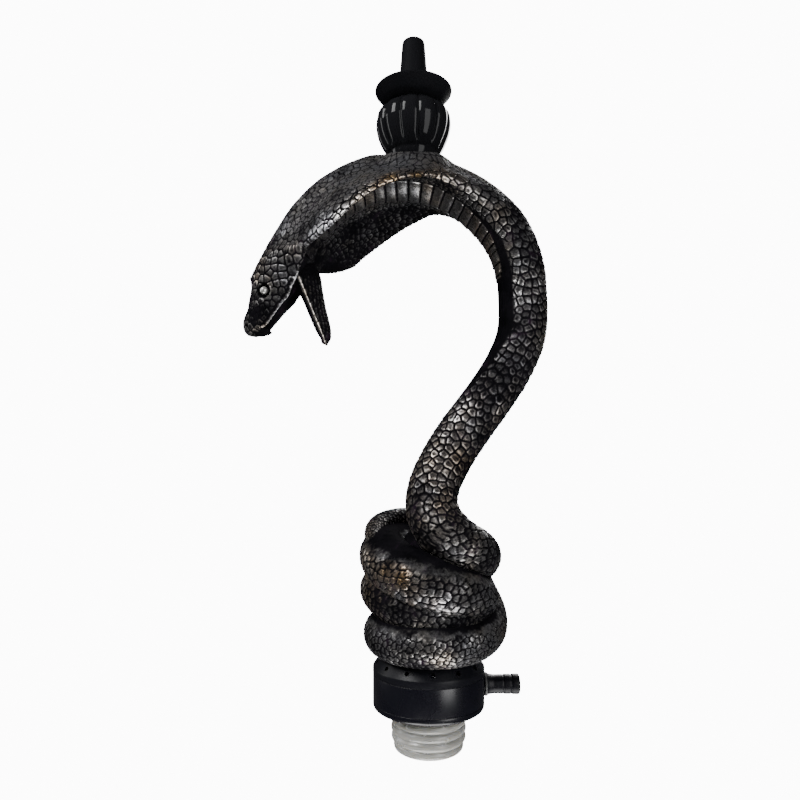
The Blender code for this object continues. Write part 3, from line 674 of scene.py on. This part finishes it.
def make_body(rows, finish, rng):
    """The body in four closed skins, split where one ring of the sweep can be shared."""
    bow, turns = rows[:, BOW], rows[:, TURNS]
    at_head = np.nonzero(bow <= 160.0)[0][0]
    at_neck = np.nonzero((bow <= 24.0) & (turns < 1.0))[0]
    at_neck = at_neck[at_neck > at_head][0]
    at_coil = np.nonzero(turns >= 172.0)[0][0]
    at_ring = np.nonzero(turns >= 880.0)[0][0]
    cuts = (
        ("snake_hood", at_head, at_neck, 0.62, 330),
        ("snake_neck", at_neck, at_coil, 0.60, 168),
        ("snake_coils", at_coil, at_ring, 0.62, 150),
        ("snake_tail", at_ring, len(rows) - 1, 0.58, 150),
    )
    step = coarseness()
    made = []
    for name, first, last, spacing, count in cuts:
        skin = Skin(rows[first : last + 1], spacing * step, int(count / step))
        lift, relief, tone, silver, gold = body_fields(skin, rng)
        obj = skin_object(name, skin, lift, finish, relief=relief, tone=tone, silver=silver, gold=gold)
        if name == "snake_hood":
            rise = mound(skin, lift).ravel() * MM
            flat = np.empty(len(rise) * 3)
            obj.data.vertices.foreach_get("co", flat)
            flat = flat.reshape(-1, 3)
            flat[:, 2] += rise
            obj.data.vertices.foreach_set("co", flat.ravel())
        made.append(obj)
    return made


def make_core(finish):
    """The middle of the casting, which closes the coils round the smoke tube."""
    outline = [(18.0, 33.2), (18.0, 96.0), (16.8, 102.0), (13.0, 107.5), (7.0, 111.0), (0.001, 112.0)]
    outline += [(0.001, 92.0), (7.2, 90.0), (7.2, 50.3), (11.3, 50.3), (11.3, 33.2)]
    core = lathe("snake_core", outline, finish)
    for field, value in (("relief", 0.5), ("tone", 0.4), ("silver", 0.06), ("gold", 0.0)):
        layer = core.data.attributes.new(field, "FLOAT", "POINT")
        layer.data.foreach_set("value", [value] * len(core.data.vertices))
    return core


def near_point(points, place, radius):
    """1 at the place, falling to 0 over the radius."""
    away = np.linalg.norm(points - np.asarray(place), axis=-1)
    return bell(away, radius)


def near_line(points, start, end, radius):
    start, end = np.asarray(start, float), np.asarray(end, float)
    way = end - start
    t = np.clip(((points - start) @ way) / (way @ way), 0.0, 1.0)
    away = np.linalg.norm(points - (start + t[..., None] * way), axis=-1)
    return bell(away, radius)


def disc(points, place, radius, soft):
    """1 inside the radius of the place, falling to 0 over the soft edge."""
    away = np.linalg.norm(points - np.asarray(place), axis=-1)
    return 1.0 - smoothstep(radius - soft, radius + soft, away)


def on_skull(along, lift, out):
    """A place by its distance along the upper lip, its height off it and its distance from the middle."""
    return MOUTH_CORNER + UPPER_LIP * along + UPPER_BACK * lift + np.array((0.0, out, 0.0))


def make_head(rows, finish, rng):
    bow = rows[:, BOW]
    last = np.nonzero(bow <= 160.0)[0][0]
    step = coarseness()
    skin = Skin(rows[: last + 1], 0.40 * step, int(250 / step))
    points = skin.points
    local = points - MOUTH_CORNER
    along, height = local @ UPPER_LIP, local @ UPPER_BACK
    # The snout is cut back below, so that its lip hangs level
    cut_back = 0.72 * np.clip(6.6 - height, 0, None) * smoothstep(29.0, 45.5, along)
    skin.points = points - UPPER_LIP * cut_back[..., None]
    points = skin.points
    rim = skin.arc - skin.edge
    jaws = smoothstep(-3.0, 3.0, along)
    lip_at = np.interp(along, (-3.0, 5.0, 14.0, 30.0, 40.0, 44.0), (5.2, 4.0, 4.6, 4.8, 3.4, 2.6))

    size = np.interp(along, (0, 14, 30, 46), (5.4, 4.6, 4.0, 3.4))
    roof = smoothstep(0.5, 1.3, rim - lip_at) * jaws
    seeds = seeds_on(skin, np.where(roof > 0.5, 0.0, size), rng)
    border, tone, behind = cell_fields(skin, seeds)
    scales = scale_relief(border, tone, behind, size)
    depth = np.interp(along, (-10, 10, 46), (0.75, 0.7, 0.45))
    depth = depth * (0.55 + 0.45 * smoothstep(3.0, 9.0, skin.arc))
    lift = depth * scales * (1 - roof)
    relief = scales * (1 - roof)
    silver = np.interp(along, (-10.0, 6.0, 20.0, 28.0, 37.0, 43.0), (0.50, 0.46, 0.34, 0.20, 0.20, 0.5))
    silver = silver * (1 - roof)
    throat = smoothstep(0.5, 1.3, rim - lip_at) * (1 - jaws)
    lift = lift * (1 - throat)
    relief = toward(relief, 0.4, throat)
    silver = toward(silver, 0.30, throat)
    gold = np.zeros_like(lift)

    off = rim - lip_at
    lip = bell(off, 0.8) * smoothstep(-4.8, -3.2, along) * (1 - smoothstep(38.5, 41.0, along))
    groove = bell(off + 2.0, 0.7) * smoothstep(0.0, 4.0, along) * (1 - smoothstep(36.0, 39.0, along))
    lift = lift - 0.35 * groove
    relief = relief * (1 - 0.8 * groove)
    lift = lift - 2.6 * roof * smoothstep(0.2, 3.0, off) * (1 - smoothstep(33.0, 38.5, along))

    for side in (-1, 1):
        eye = on_skull(18.3, 12.8, side * 11.0)
        away = np.linalg.norm(points - eye, axis=-1)
        socket = disc(points, eye, 4.3, 0.6)
        crest = bell(away - 5.4, 0.75)
        crest = crest * smoothstep(2.0, -3.0, (points - eye) @ np.array((-0.8, 0.0, 0.6)))
        brow = near_point(points, on_skull(14.5, 21.0, side * 7.5), 3.6)
        lift = lift * (1 - socket) * (1 - 0.7 * brow) - 2.6 * socket + 0.40 * brow + 0.55 * crest
        relief = np.maximum(relief * (1 - socket), 0.95 * crest)
        relief = np.maximum(relief, 0.9 * smoothstep(0.35, 0.7, brow))
        silver = silver * (1 - socket) + 0.3 * crest + 0.65 * brow
        gold = gold + 0.5 * smoothstep(0.2, 0.7, brow)
        tone = np.maximum(tone, smoothstep(0.2, 0.7, brow))
        cheek = near_point(points, on_skull(3.0, 9.0, side * 14.0), 6.5)
        lift = lift + 0.6 * cheek
        nostril = disc(points, on_skull(41.2, 8.2, side * 7.2), 1.0, 0.5)
        lift = lift - 1.2 * nostril
        relief = relief * (1 - nostril)
        snout = near_point(points, on_skull(39.0, 4.2, side * 7.0), 3.2)
        lift = lift + 0.5 * snout
        pit = near_line(points, on_skull(26.5, 6.5, side * 10.5), on_skull(33.0, 7.5, side * 9.0), 3.0)
        lift = lift - 0.5 * pit
        silver = silver * (1 - 0.75 * pit)
    lift = lift - 1.5 * bell(along - 20.0, 7.0) * smoothstep(14.0, 22.0, height)
    notch = near_line(points, on_skull(41.5, 1.5, -12.0), on_skull(41.5, 1.5, 12.0), 0.9)
    lift = lift - 0.9 * notch
    relief = relief * (1 - notch)
    silver = silver * 0.9
    lift = lift * (1 - 0.7 * lip) + 1.25 * lip
    relief = np.maximum(relief, lip)
    silver = toward(silver, 0.8, lip)
    tone = toward(tone, 0.9, lip)
    lift = lift - 0.40 * (1 - 0.5 * lip)
    return skin_object("snake_head", skin, lift, finish, relief=relief, tone=tone, silver=silver, gold=gold)


def make_jaw(finish, rng):
    step = coarseness()
    skin = Skin(jaw_rows(), 0.42 * step, int(170 / step))
    local = skin.points - MOUTH_CORNER
    along = local @ LOWER_LIP
    rim = skin.arc - skin.edge
    floor = smoothstep(0.3, 1.4, rim)
    size = np.full_like(rim, 4.2)
    seeds = seeds_on(skin, np.where(floor > 0.5, 0.0, size), rng)
    border, tone, behind = cell_fields(skin, seeds)
    scales = scale_relief(border, tone, behind, size)
    outer = 1 - floor
    streak = np.sin(skin.arc * 2.4 + 1.6 * wobble(skin.points, 22.0, 21)) * 0.5 + 0.5
    lift = outer * (0.22 * scales + 0.22 * streak) - 0.3
    relief = outer * (0.35 * scales + 0.3 * streak) * smoothstep(-9.0, 2.0, along) + 0.1 * floor
    silver = 0.36 * outer
    lip = bell(rim + 0.6, 0.9) * smoothstep(-6.0, -2.0, along)
    lift = toward(lift, 0.7, lip)
    relief = np.maximum(relief, lip * (0.62 + 0.38 * scales))
    silver = silver + 0.9 * lip
    lift = lift - 1.5 * floor * smoothstep(0.5, 4.0, rim) * (1 - smoothstep(35.0, 39.0, along))
    tone = 0.4 + 0.4 * tone + 0.4 * lip
    name = "snake_lower_jaw"
    return skin_object(name, skin, lift, finish, relief=relief, tone=tone, silver=silver, gold=0.15 * lip)


def surface(name, colour, roughness, metallic=0.0, specular=0.5, grain=0.0, grain_scale=600.0):
    """A plain finish with fine grain in its roughness and surface."""
    made = bpy.data.materials.new(name)
    made.use_nodes = True
    nodes, links = made.node_tree.nodes, made.node_tree.links
    shader = nodes["Principled BSDF"]
    dial(shader, {"Metallic": metallic, "Specular IOR Level": specular})
    dial(shader, {"Base Color": (*colour, 1.0), "Roughness": roughness})
    coords = nodes.new("ShaderNodeTexCoord")
    noise = nodes.new("ShaderNodeTexNoise")
    dial(noise, {"Scale": grain_scale, "Detail": 5.0})
    links.new(coords.outputs["Object"], noise.inputs["Vector"])
    spread = nodes.new("ShaderNodeMapRange")
    dial(spread, {"To Min": max(0.02, roughness - 0.06), "To Max": roughness + 0.08})
    links.new(noise.outputs["Fac"], spread.inputs["Value"])
    links.new(spread.outputs["Result"], shader.inputs["Roughness"])
    if grain:
        bump = nodes.new("ShaderNodeBump")
        dial(bump, {"Strength": grain, "Distance": 0.0002})
        links.new(noise.outputs["Fac"], bump.inputs["Height"])
        links.new(bump.outputs["Normal"], shader.inputs["Normal"])
    return made


def milky_silicone():
    made = surface("milky_silicone_look", (0.32, 0.318, 0.30), 0.24, grain=0.12, grain_scale=260.0)
    shader = made.node_tree.nodes["Principled BSDF"]
    dial(shader, {"Subsurface Weight": 0.55, "Subsurface Radius": (1.0, 0.9, 0.7)})
    dial(shader, {"Subsurface Scale": 0.004, "Transmission Weight": 0.35, "IOR": 1.41})
    return made


def corner(profile, at, radius, steps=4):
    """The profile with the corner at that index rounded off."""
    p = np.array(profile[at], float)
    before, after = np.array(profile[at - 1], float), np.array(profile[(at + 1) % len(profile)], float)
    start = p + unit(before - p) * radius
    end = p + unit(after - p) * radius
    t = np.linspace(0.0, 1.0, steps + 1)[:, None]
    return [tuple(q) for q in (1 - t) ** 2 * start + 2 * t * (1 - t) * p + t**2 * end]


def softened(profile, radius, steps=4):
    """Every corner of a closed profile rounded, as far as its edges allow."""
    made = []
    for at in range(len(profile)):
        p = np.array(profile[at], float)
        before = np.linalg.norm(np.array(profile[at - 1]) - p)
        after = np.linalg.norm(np.array(profile[(at + 1) % len(profile)]) - p)
        made += corner(profile, at, min(radius, 0.42 * before, 0.42 * after), steps)
    return made


def lathe(name, profile, finish, place=None, body="stem", segments=176):
    """A closed ring of (radius, height) turned about Z, then placed."""
    angles = np.arange(segments) / segments * 2 * math.pi
    ring = np.array(profile, float)
    x = np.cos(angles)[:, None] * ring[:, 0]
    y = np.sin(angles)[:, None] * ring[:, 0]
    points = np.stack([x, y, np.broadcast_to(ring[:, 1], x.shape)], axis=-1)
    count = len(ring)
    index = np.arange(segments * count).reshape(segments, count)
    a, b = index, np.roll(index, -1, axis=0)
    quads = np.stack([a, b, np.roll(b, -1, axis=1), np.roll(a, -1, axis=1)], axis=-1).reshape(-1, 4)
    r, z = ring[:, 0], ring[:, 1]
    if np.sum(r * np.roll(z, -1) - np.roll(r, -1) * z) > 0:
        quads = quads[:, ::-1]
    flat = points.reshape(-1, 3)
    if place is not None:
        matrix = np.array(place)
        flat = flat @ matrix[:3, :3].T + matrix[:3, 3]
    obj = add_mesh(name, flat, quads[:, ::-1].tolist(), body)
    sharp_edges(obj, 32.0)
    obj.data.materials.append(finish)
    return obj


def sharp_edges(obj, degrees):
    """Marks every edge sharper than that angle, so that flat faces stay flat."""
    mesh = obj.data
    normals = np.empty(len(mesh.polygons) * 3)
    mesh.polygons.foreach_get("normal", normals)
    normals = normals.reshape(-1, 3)
    limit = math.cos(math.radians(degrees))
    faces = {}
    edges = np.empty(len(mesh.loops), int)
    mesh.loops.foreach_get("edge_index", edges)
    for polygon in mesh.polygons:
        for loop in polygon.loop_indices:
            faces.setdefault(int(edges[loop]), []).append(polygon.index)
    sharp = np.zeros(len(mesh.edges), bool)
    for edge, pair in faces.items():
        if len(pair) == 2 and normals[pair[0]] @ normals[pair[1]] < limit:
            sharp[edge] = True
    layer = mesh.attributes.new("sharp_edge", "BOOLEAN", "EDGE")
    layer.data.foreach_set("value", sharp)


def upright(x):
    return Matrix.Translation((x, 0.0, 0.0))


def along_x(y, z):
    """Height runs along +X."""
    return Matrix.Translation((0.0, y, z)) @ Matrix.Rotation(math.pi / 2, 4, "Y")


def drilled(obj, holes):
    """Cuts a cylinder (radius, start, end) for each hole, all in one Boolean."""
    points, faces = [], []
    sides = 28
    for radius, start, end in holes:
        start, end = Vector(start), Vector(end)
        turn = (end - start).to_track_quat("Z", "Y")
        first = len(points)
        for centre in (start, end):
            for k in range(sides):
                a = 2 * math.pi * k / sides
                points.append(tuple(centre + turn @ Vector((radius * math.cos(a), radius * math.sin(a), 0))))
        for k in range(sides):
            n = (k + 1) % sides
            faces.append([first + k, first + n, first + sides + n, first + sides + k])
        faces.append([first + k for k in reversed(range(sides))])
        faces.append([first + sides + k for k in range(sides)])
    mesh = bpy.data.meshes.new(obj.name + "_drill")
    mesh.from_pydata((np.array(points) * MM).tolist(), [], faces)
    drill = in_scene(bpy.data.objects.new(obj.name + "_drill", mesh))
    modifier = obj.modifiers.new("holes", "BOOLEAN")
    modifier.operation = "DIFFERENCE"
    modifier.solver = "EXACT"
    modifier.object = drill
    graph = bpy.context.evaluated_depsgraph_get()
    cut = bpy.data.meshes.new_from_object(obj.evaluated_get(graph))
    obj.modifiers.clear()
    obj.data = cut
    bpy.data.objects.remove(drill)


def make_collar(finish, shade_dimmed_satin):
    """The base ring, the sleeve and the vented cap, each with its own softened edges."""
    base = [(COLLAR_R, 4.2), (COLLAR_R, 0.0), (16.5, 0.0), (16.5, -11.5), (13.2, -11.5), (13.2, 4.2)]
    base = corner(base, 0, 0.45, 3) + corner(base, 1, 2.6, 9) + base[2:]
    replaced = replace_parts(lathe("collar_base_ring", base, finish), "collar_base")
    sleeve = [(COLLAR_R, 21.3), (COLLAR_R, 4.24), (31.9, 4.24), (31.9, 21.3)]
    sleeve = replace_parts(lathe("collar_sleeve_ring", softened(sleeve, 0.42, 3), finish), "collar_sleeve")
    cap = [(30.2, 31.5), (CAP_R, 25.4), (CAP_R, 21.36), (31.9, 21.36), (31.9, 25.0)]
    cap += [(27.0, 28.9), (8.6, 28.9), (8.6, 31.5)]
    rounded = corner(cap, 0, 0.9, 6) + corner(cap, 1, 0.5, 4) + corner(cap, 2, 0.4, 3) + cap[3:]
    # The cone takes the dimmed finish, as painted shade for the coil's shadow over it.
    cap = lathe("vent_cap_cone", rounded, shade_dimmed_satin)
    holes = []
    for k in range(VENT_COUNT):
        angle = VENT_FIRST + 360.0 * k / VENT_COUNT
        holes.append((VENT_R, round_about(angle, 26.4, 24.3), round_about(angle, 37.4, 32.6)))
    drilled(cap, holes)
    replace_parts(cap, "vent_cap")


def make_hose_port(finish):
    """The ribbed nozzle that the hose pushes over."""
    profile = [(5.2, 56.6), (5.87, 55.9), (5.87, 52.2), (5.45, 51.6), (5.45, 51.2), (5.72, 50.6)]
    profile += [(5.72, 47.1), (5.40, 46.7), (5.40, 46.2), (5.55, 45.7), (5.45, 40.2), (5.95, 37.2)]
    profile += [(6.55, 36.5), (6.55, 34.95), (4.4, 34.95), (4.4, 31.95), (3.6, 31.95), (3.6, 56.6)]
    profile = [(r * 1.05 if z > 35.0 and r > 4.0 else r, z) for r, z in profile]
    port = lathe("hose_port_nozzle", softened(profile, 0.28, 3), finish, along_x(0.0, 13.3), segments=96)
    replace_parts(port, "hose_port")


def make_stopper(finish):
    """The ribbed plug; each rib is rounded, and the last one is turned in below."""
    profile = [(16.7, -0.15), (22.3, -0.15)]
    ribs = ((23.0, -2.2), (23.3, -7.3), (23.3, -12.6), (23.1, -17.9), (21.7, -23.2))
    for out, z in ribs:
        taller = 1 if z > -20 else 1.1
        for angle in range(64, -65, -16):
            a = math.radians(angle)
            profile.append((out - 1.25 + 1.25 * math.cos(a), z + 2.15 * math.sin(a) * taller))
        profile.append((out - 1.35, z - 2.6))
    profile += [(19.4, -26.3), (18.4, -26.5), (14.5, -26.5), (14.5, -11.6), (16.7, -11.6)]
    plug = lathe("stopper_plug", profile, finish, body="stopper")
    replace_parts(plug, "stopper")


def make_bulb(finish):
    """The glossy ball, gathered into twelve soft lobes between its pinched ends."""
    profile = [(13.2, 338.4), (14.6, 341.2), (15.4, 343.4), (17.2, 345.2), (19.8, 349.2), (21.9, 354.0)]
    profile += [(23.1, 359.0), (23.3, 362.5), (22.8, 366.4), (21.4, 369.2), (18.6, 371.3), (15.4, 372.4)]
    outer = smooth_rows([(r, z, 0) for r, z in profile], 5)[:, :2]
    segments = 288
    angles = np.arange(segments) / segments * 2 * math.pi
    wave = np.abs(np.cos(6 * (angles + 0.13)))
    lobe = 1.0 - (1.0 - wave) ** 2.2
    rings = []
    for r, z in outer:
        ends = smoothstep(343.0, 349.0, z)
        rings.append((r - 1.5 * ends * (1.0 - lobe), np.full(segments, z)))
    for r, z in ((14.0, 376.2), (6.3, 376.2), (6.3, 338.2), (12.6, 338.2)):
        rings.append((np.full(segments, r), np.full(segments, z)))
    radius = np.array([r for r, _ in rings])
    height = np.array([z for _, z in rings])
    points = np.stack([BOWL_X + radius * np.cos(angles), radius * np.sin(angles), height], axis=-1)
    count = len(rings)
    index = np.arange(count * segments).reshape(count, segments)
    a, b = index, np.roll(index, -1, axis=0)
    quads = np.stack([a, np.roll(a, -1, axis=1), np.roll(b, -1, axis=1), b], axis=-1).reshape(-1, 4)
    bulb = add_mesh("fluted_bulb_ball", points.reshape(-1, 3), quads.tolist())
    sharp_edges(bulb, 40.0)
    bulb.data.materials.append(finish)
    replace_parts(bulb, "fluted_bulb")


def make_bowl_end(finish):
    place = upright(BOWL_X)
    dish = [(23.2, 383.5), (23.95, 383.0), (23.8, 382.3), (21.6, 379.8), (19.3, 377.2), (16.8, 375.1)]
    dish += [(14.7, 373.9), (14.3, 374.3), (14.3, 377.75), (6.3, 377.75)]
    dish += [(6.3, 379.9), (14.0, 379.9), (18.6, 381.2), (21.6, 382.6)]
    dish = lathe("ash_dish", softened(dish, 0.5, 3), finish, place)
    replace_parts(dish, "dish")
    port = [(5.7, 414.4), (6.75, 413.6), (7.1, 412.2), (9.25, 384.4), (9.5, 382.6), (9.3, 381.4)]
    port += [(6.3, 381.35), (6.3, 392.0), (4.6, 393.6), (4.6, 414.4)]
    port = lathe("bowl_port_tube", softened(port, 0.7, 4), finish, place, segments=96)
    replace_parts(port, "bowl_port")


def make_eyes(finish):
    """A bright bead on each side of the head."""
    for side, node in ((-1, "eye_left"), (1, "eye_right")):
        centre = on_skull(18.0, 13.0, side * 9.7)
        way = unit(np.array((-0.18, side * 1.0, 0.10)))
        turn = Vector(way).to_track_quat("Z", "Y").to_matrix().to_4x4()
        place = Matrix.Translation(centre) @ turn
        bead = [(0.0001, 2.75)]
        for angle in range(84, -40, -12):
            a = math.radians(angle)
            bead.append((2.55 * math.cos(a), 2.75 * math.sin(a)))
        bead += [(1.2, -2.2), (0.0001, -2.2)]
        eye = lathe(node + "_bead", bead, finish, place, segments=48)
        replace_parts(eye, node)


def plain_finishes():
    """Finishes for the pieces whose CAD shape is shown as it is."""
    steel = surface("machined_steel_look", (0.50, 0.50, 0.51), 0.30, 1.0, grain=0.15)
    rubber = surface("seal_rubber_look", (0.02, 0.02, 0.02), 0.68, grain=0.3, grain_scale=900.0)
    # Its real colour is unknown. It shows through a gap behind the neck, so it is painted black as the shade
    # in that gap.
    tube = surface("smoke_tube_look", (0.006, 0.006, 0.007), 0.55)
    ball = surface("ball_plastic_look", (0.82, 0.82, 0.80), 0.3)
    for finish, nodes in (
        (tube, "smoke_tube"),
        (steel, "foot_insert back_insert stem_heart dip_socket valve_plate clamp_nipple"),
        (rubber, "base_seal cap_seal hose_port_seal bulb_gasket dish_gasket port_gasket"),
        (ball, "purge_ball_1 purge_ball_2 purge_ball_3 purge_ball_4"),
    ):
        for node in nodes.split():
            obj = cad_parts[node]
            obj.data.materials.clear()
            obj.data.materials.append(finish)


def panel(name, centre, facing, width, height, strength):
    """A softbox: an area light turned to face the object."""
    data = bpy.data.lights.new(name, "AREA")
    data.shape = "RECTANGLE"
    data.size, data.size_y = width, height
    data.energy = strength * width * height
    obj = in_scene(bpy.data.objects.new(name, data))
    obj.location = centre
    obj.rotation_mode = "QUATERNION"
    obj.rotation_quaternion = (Vector(facing) - Vector(centre)).to_track_quat("-Z", "Y")
    obj.visible_camera = False


def glowing(name, strength):
    made = bpy.data.materials.new(name)
    made.use_nodes = True
    nodes, links = made.node_tree.nodes, made.node_tree.links
    nodes.clear()
    output = nodes.new("ShaderNodeOutputMaterial")
    light = nodes.new("ShaderNodeEmission")
    light.inputs["Strength"].default_value = strength
    links.new(light.outputs["Emission"], output.inputs["Surface"])
    return made


def make_stage():
    """A white sweep all round and below, seen by the camera and shining dimly from behind."""
    mesh = bpy.data.meshes.new("surround")
    obj = in_scene(bpy.data.objects.new("surround", mesh))
    sides = 96
    outline = [(0.001, STAGE_FLOOR), (900.0, STAGE_FLOOR), (1500.0, 20.0), (1750.0, 500.0)]
    outline += [(1700.0, 1300.0), (900.0, 2100.0), (0.001, 2300.0)]
    points = []
    for r, z in outline:
        for k in range(sides):
            a = 2 * math.pi * k / sides
            points.append((r * math.cos(a), r * math.sin(a), z))
    faces = []
    for row in range(len(outline) - 1):
        for k in range(sides):
            n = (k + 1) % sides
            faces.append([row * sides + k, (row + 1) * sides + k, (row + 1) * sides + n, row * sides + n])
    mesh.from_pydata((np.array(points) * MM).tolist(), [], faces)
    obj.data.materials.append(glowing("surround_white", 12.0))
    obj.visible_diffuse = False
    obj.visible_glossy = False
    obj.visible_transmission = False
    obj.visible_shadow = False

    world = bpy.data.worlds.new("studio")
    bpy.context.scene.world = world
    world.use_nodes = True
    nodes, links = world.node_tree.nodes, world.node_tree.links
    coords = nodes.new("ShaderNodeTexCoord")
    behind = nodes.new("ShaderNodeVectorMath")
    behind.operation = "DOT_PRODUCT"
    behind.inputs[1].default_value = (0.0, 0.86, -0.50)
    links.new(coords.outputs["Generated"], behind.inputs[0])
    fade = nodes.new("ShaderNodeMapRange")
    dial(fade, {"From Min": 0.25, "From Max": 0.95, "To Min": 0.05, "To Max": 1.3})
    links.new(behind.outputs["Value"], fade.inputs["Value"])
    links.new(fade.outputs["Result"], nodes["Background"].inputs["Strength"])

    panel("key_softbox", (0.70, -0.95, 0.26), (0.0, 0.0, 0.15), 0.52, 1.2, 29.0)
    panel("main_softbox", (-0.85, -0.62, 1.05), (0.0, 0.0, 0.22), 0.6, 0.6, 90.0)
    panel("left_edge", (-1.15, 0.20, 0.40), (0.0, 0.0, 0.22), 0.30, 0.9, 26.0)
    panel("floor_bounce", (0.00, -0.22, -0.62), (0.0, 0.0, 0.25), 0.7, 0.6, 36.0)
    panel("back_top", (0.45, 1.00, 0.80), (0.0, 0.0, 0.25), 0.8, 0.7, 42.0)


def make_camera():
    data = bpy.data.cameras.new("camera")
    camera = in_scene(bpy.data.objects.new("camera", data))
    camera.location = (-0.0178, -0.4125, 0.1525)
    camera.rotation_euler = (math.radians(90.0), 0.0, 0.0)
    data.sensor_width = 36.0
    data.lens = 29.7
    data.shift_y = 0.07625
    data.clip_start = 0.02
    data.clip_end = 20.0
    bpy.context.scene.camera = camera


def main():
    rng = np.random.default_rng(11)
    resin = snake_material()
    rows = cobra_rows()
    pieces = [make_head(rows, resin, rng), make_jaw(resin, rng), *make_body(rows, resin, rng)]
    for obj in (*pieces, make_core(resin)):
        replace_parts(obj, "snake_casting")
    satin = surface("black_anodised_look", (0.0035, 0.0035, 0.0055), 0.26, specular=0.28, grain_scale=60.0)
    black = (0.006, 0.006, 0.007)
    gloss = surface("black_glaze_look", black, 0.08, specular=0.07, grain=0.55, grain_scale=75.0)
    bead = surface("eye_bead_look", (0.33, 0.325, 0.31), 0.22, 0.6)
    make_eyes(bead)
    # A less reflective copy of the anodised finish: painted shade for the vent cone, which lies in the
    # coil's shadow. The hose port takes it too.
    shade_dimmed_satin = surface("black_anodised_shade_dimmed_look", (0.004, 0.004, 0.0055), 0.36, specular=0.09, grain_scale=60.0)
    make_collar(satin, shade_dimmed_satin)
    make_hose_port(shade_dimmed_satin)
    make_stopper(milky_silicone())
    make_bulb(gloss)
    matt = surface("black_bowl_end_look", (0.005, 0.005, 0.006), 0.58, specular=0.010, grain_scale=60.0)
    make_bowl_end(matt)
    plain_finishes()
    make_stage()
    make_camera()


main()
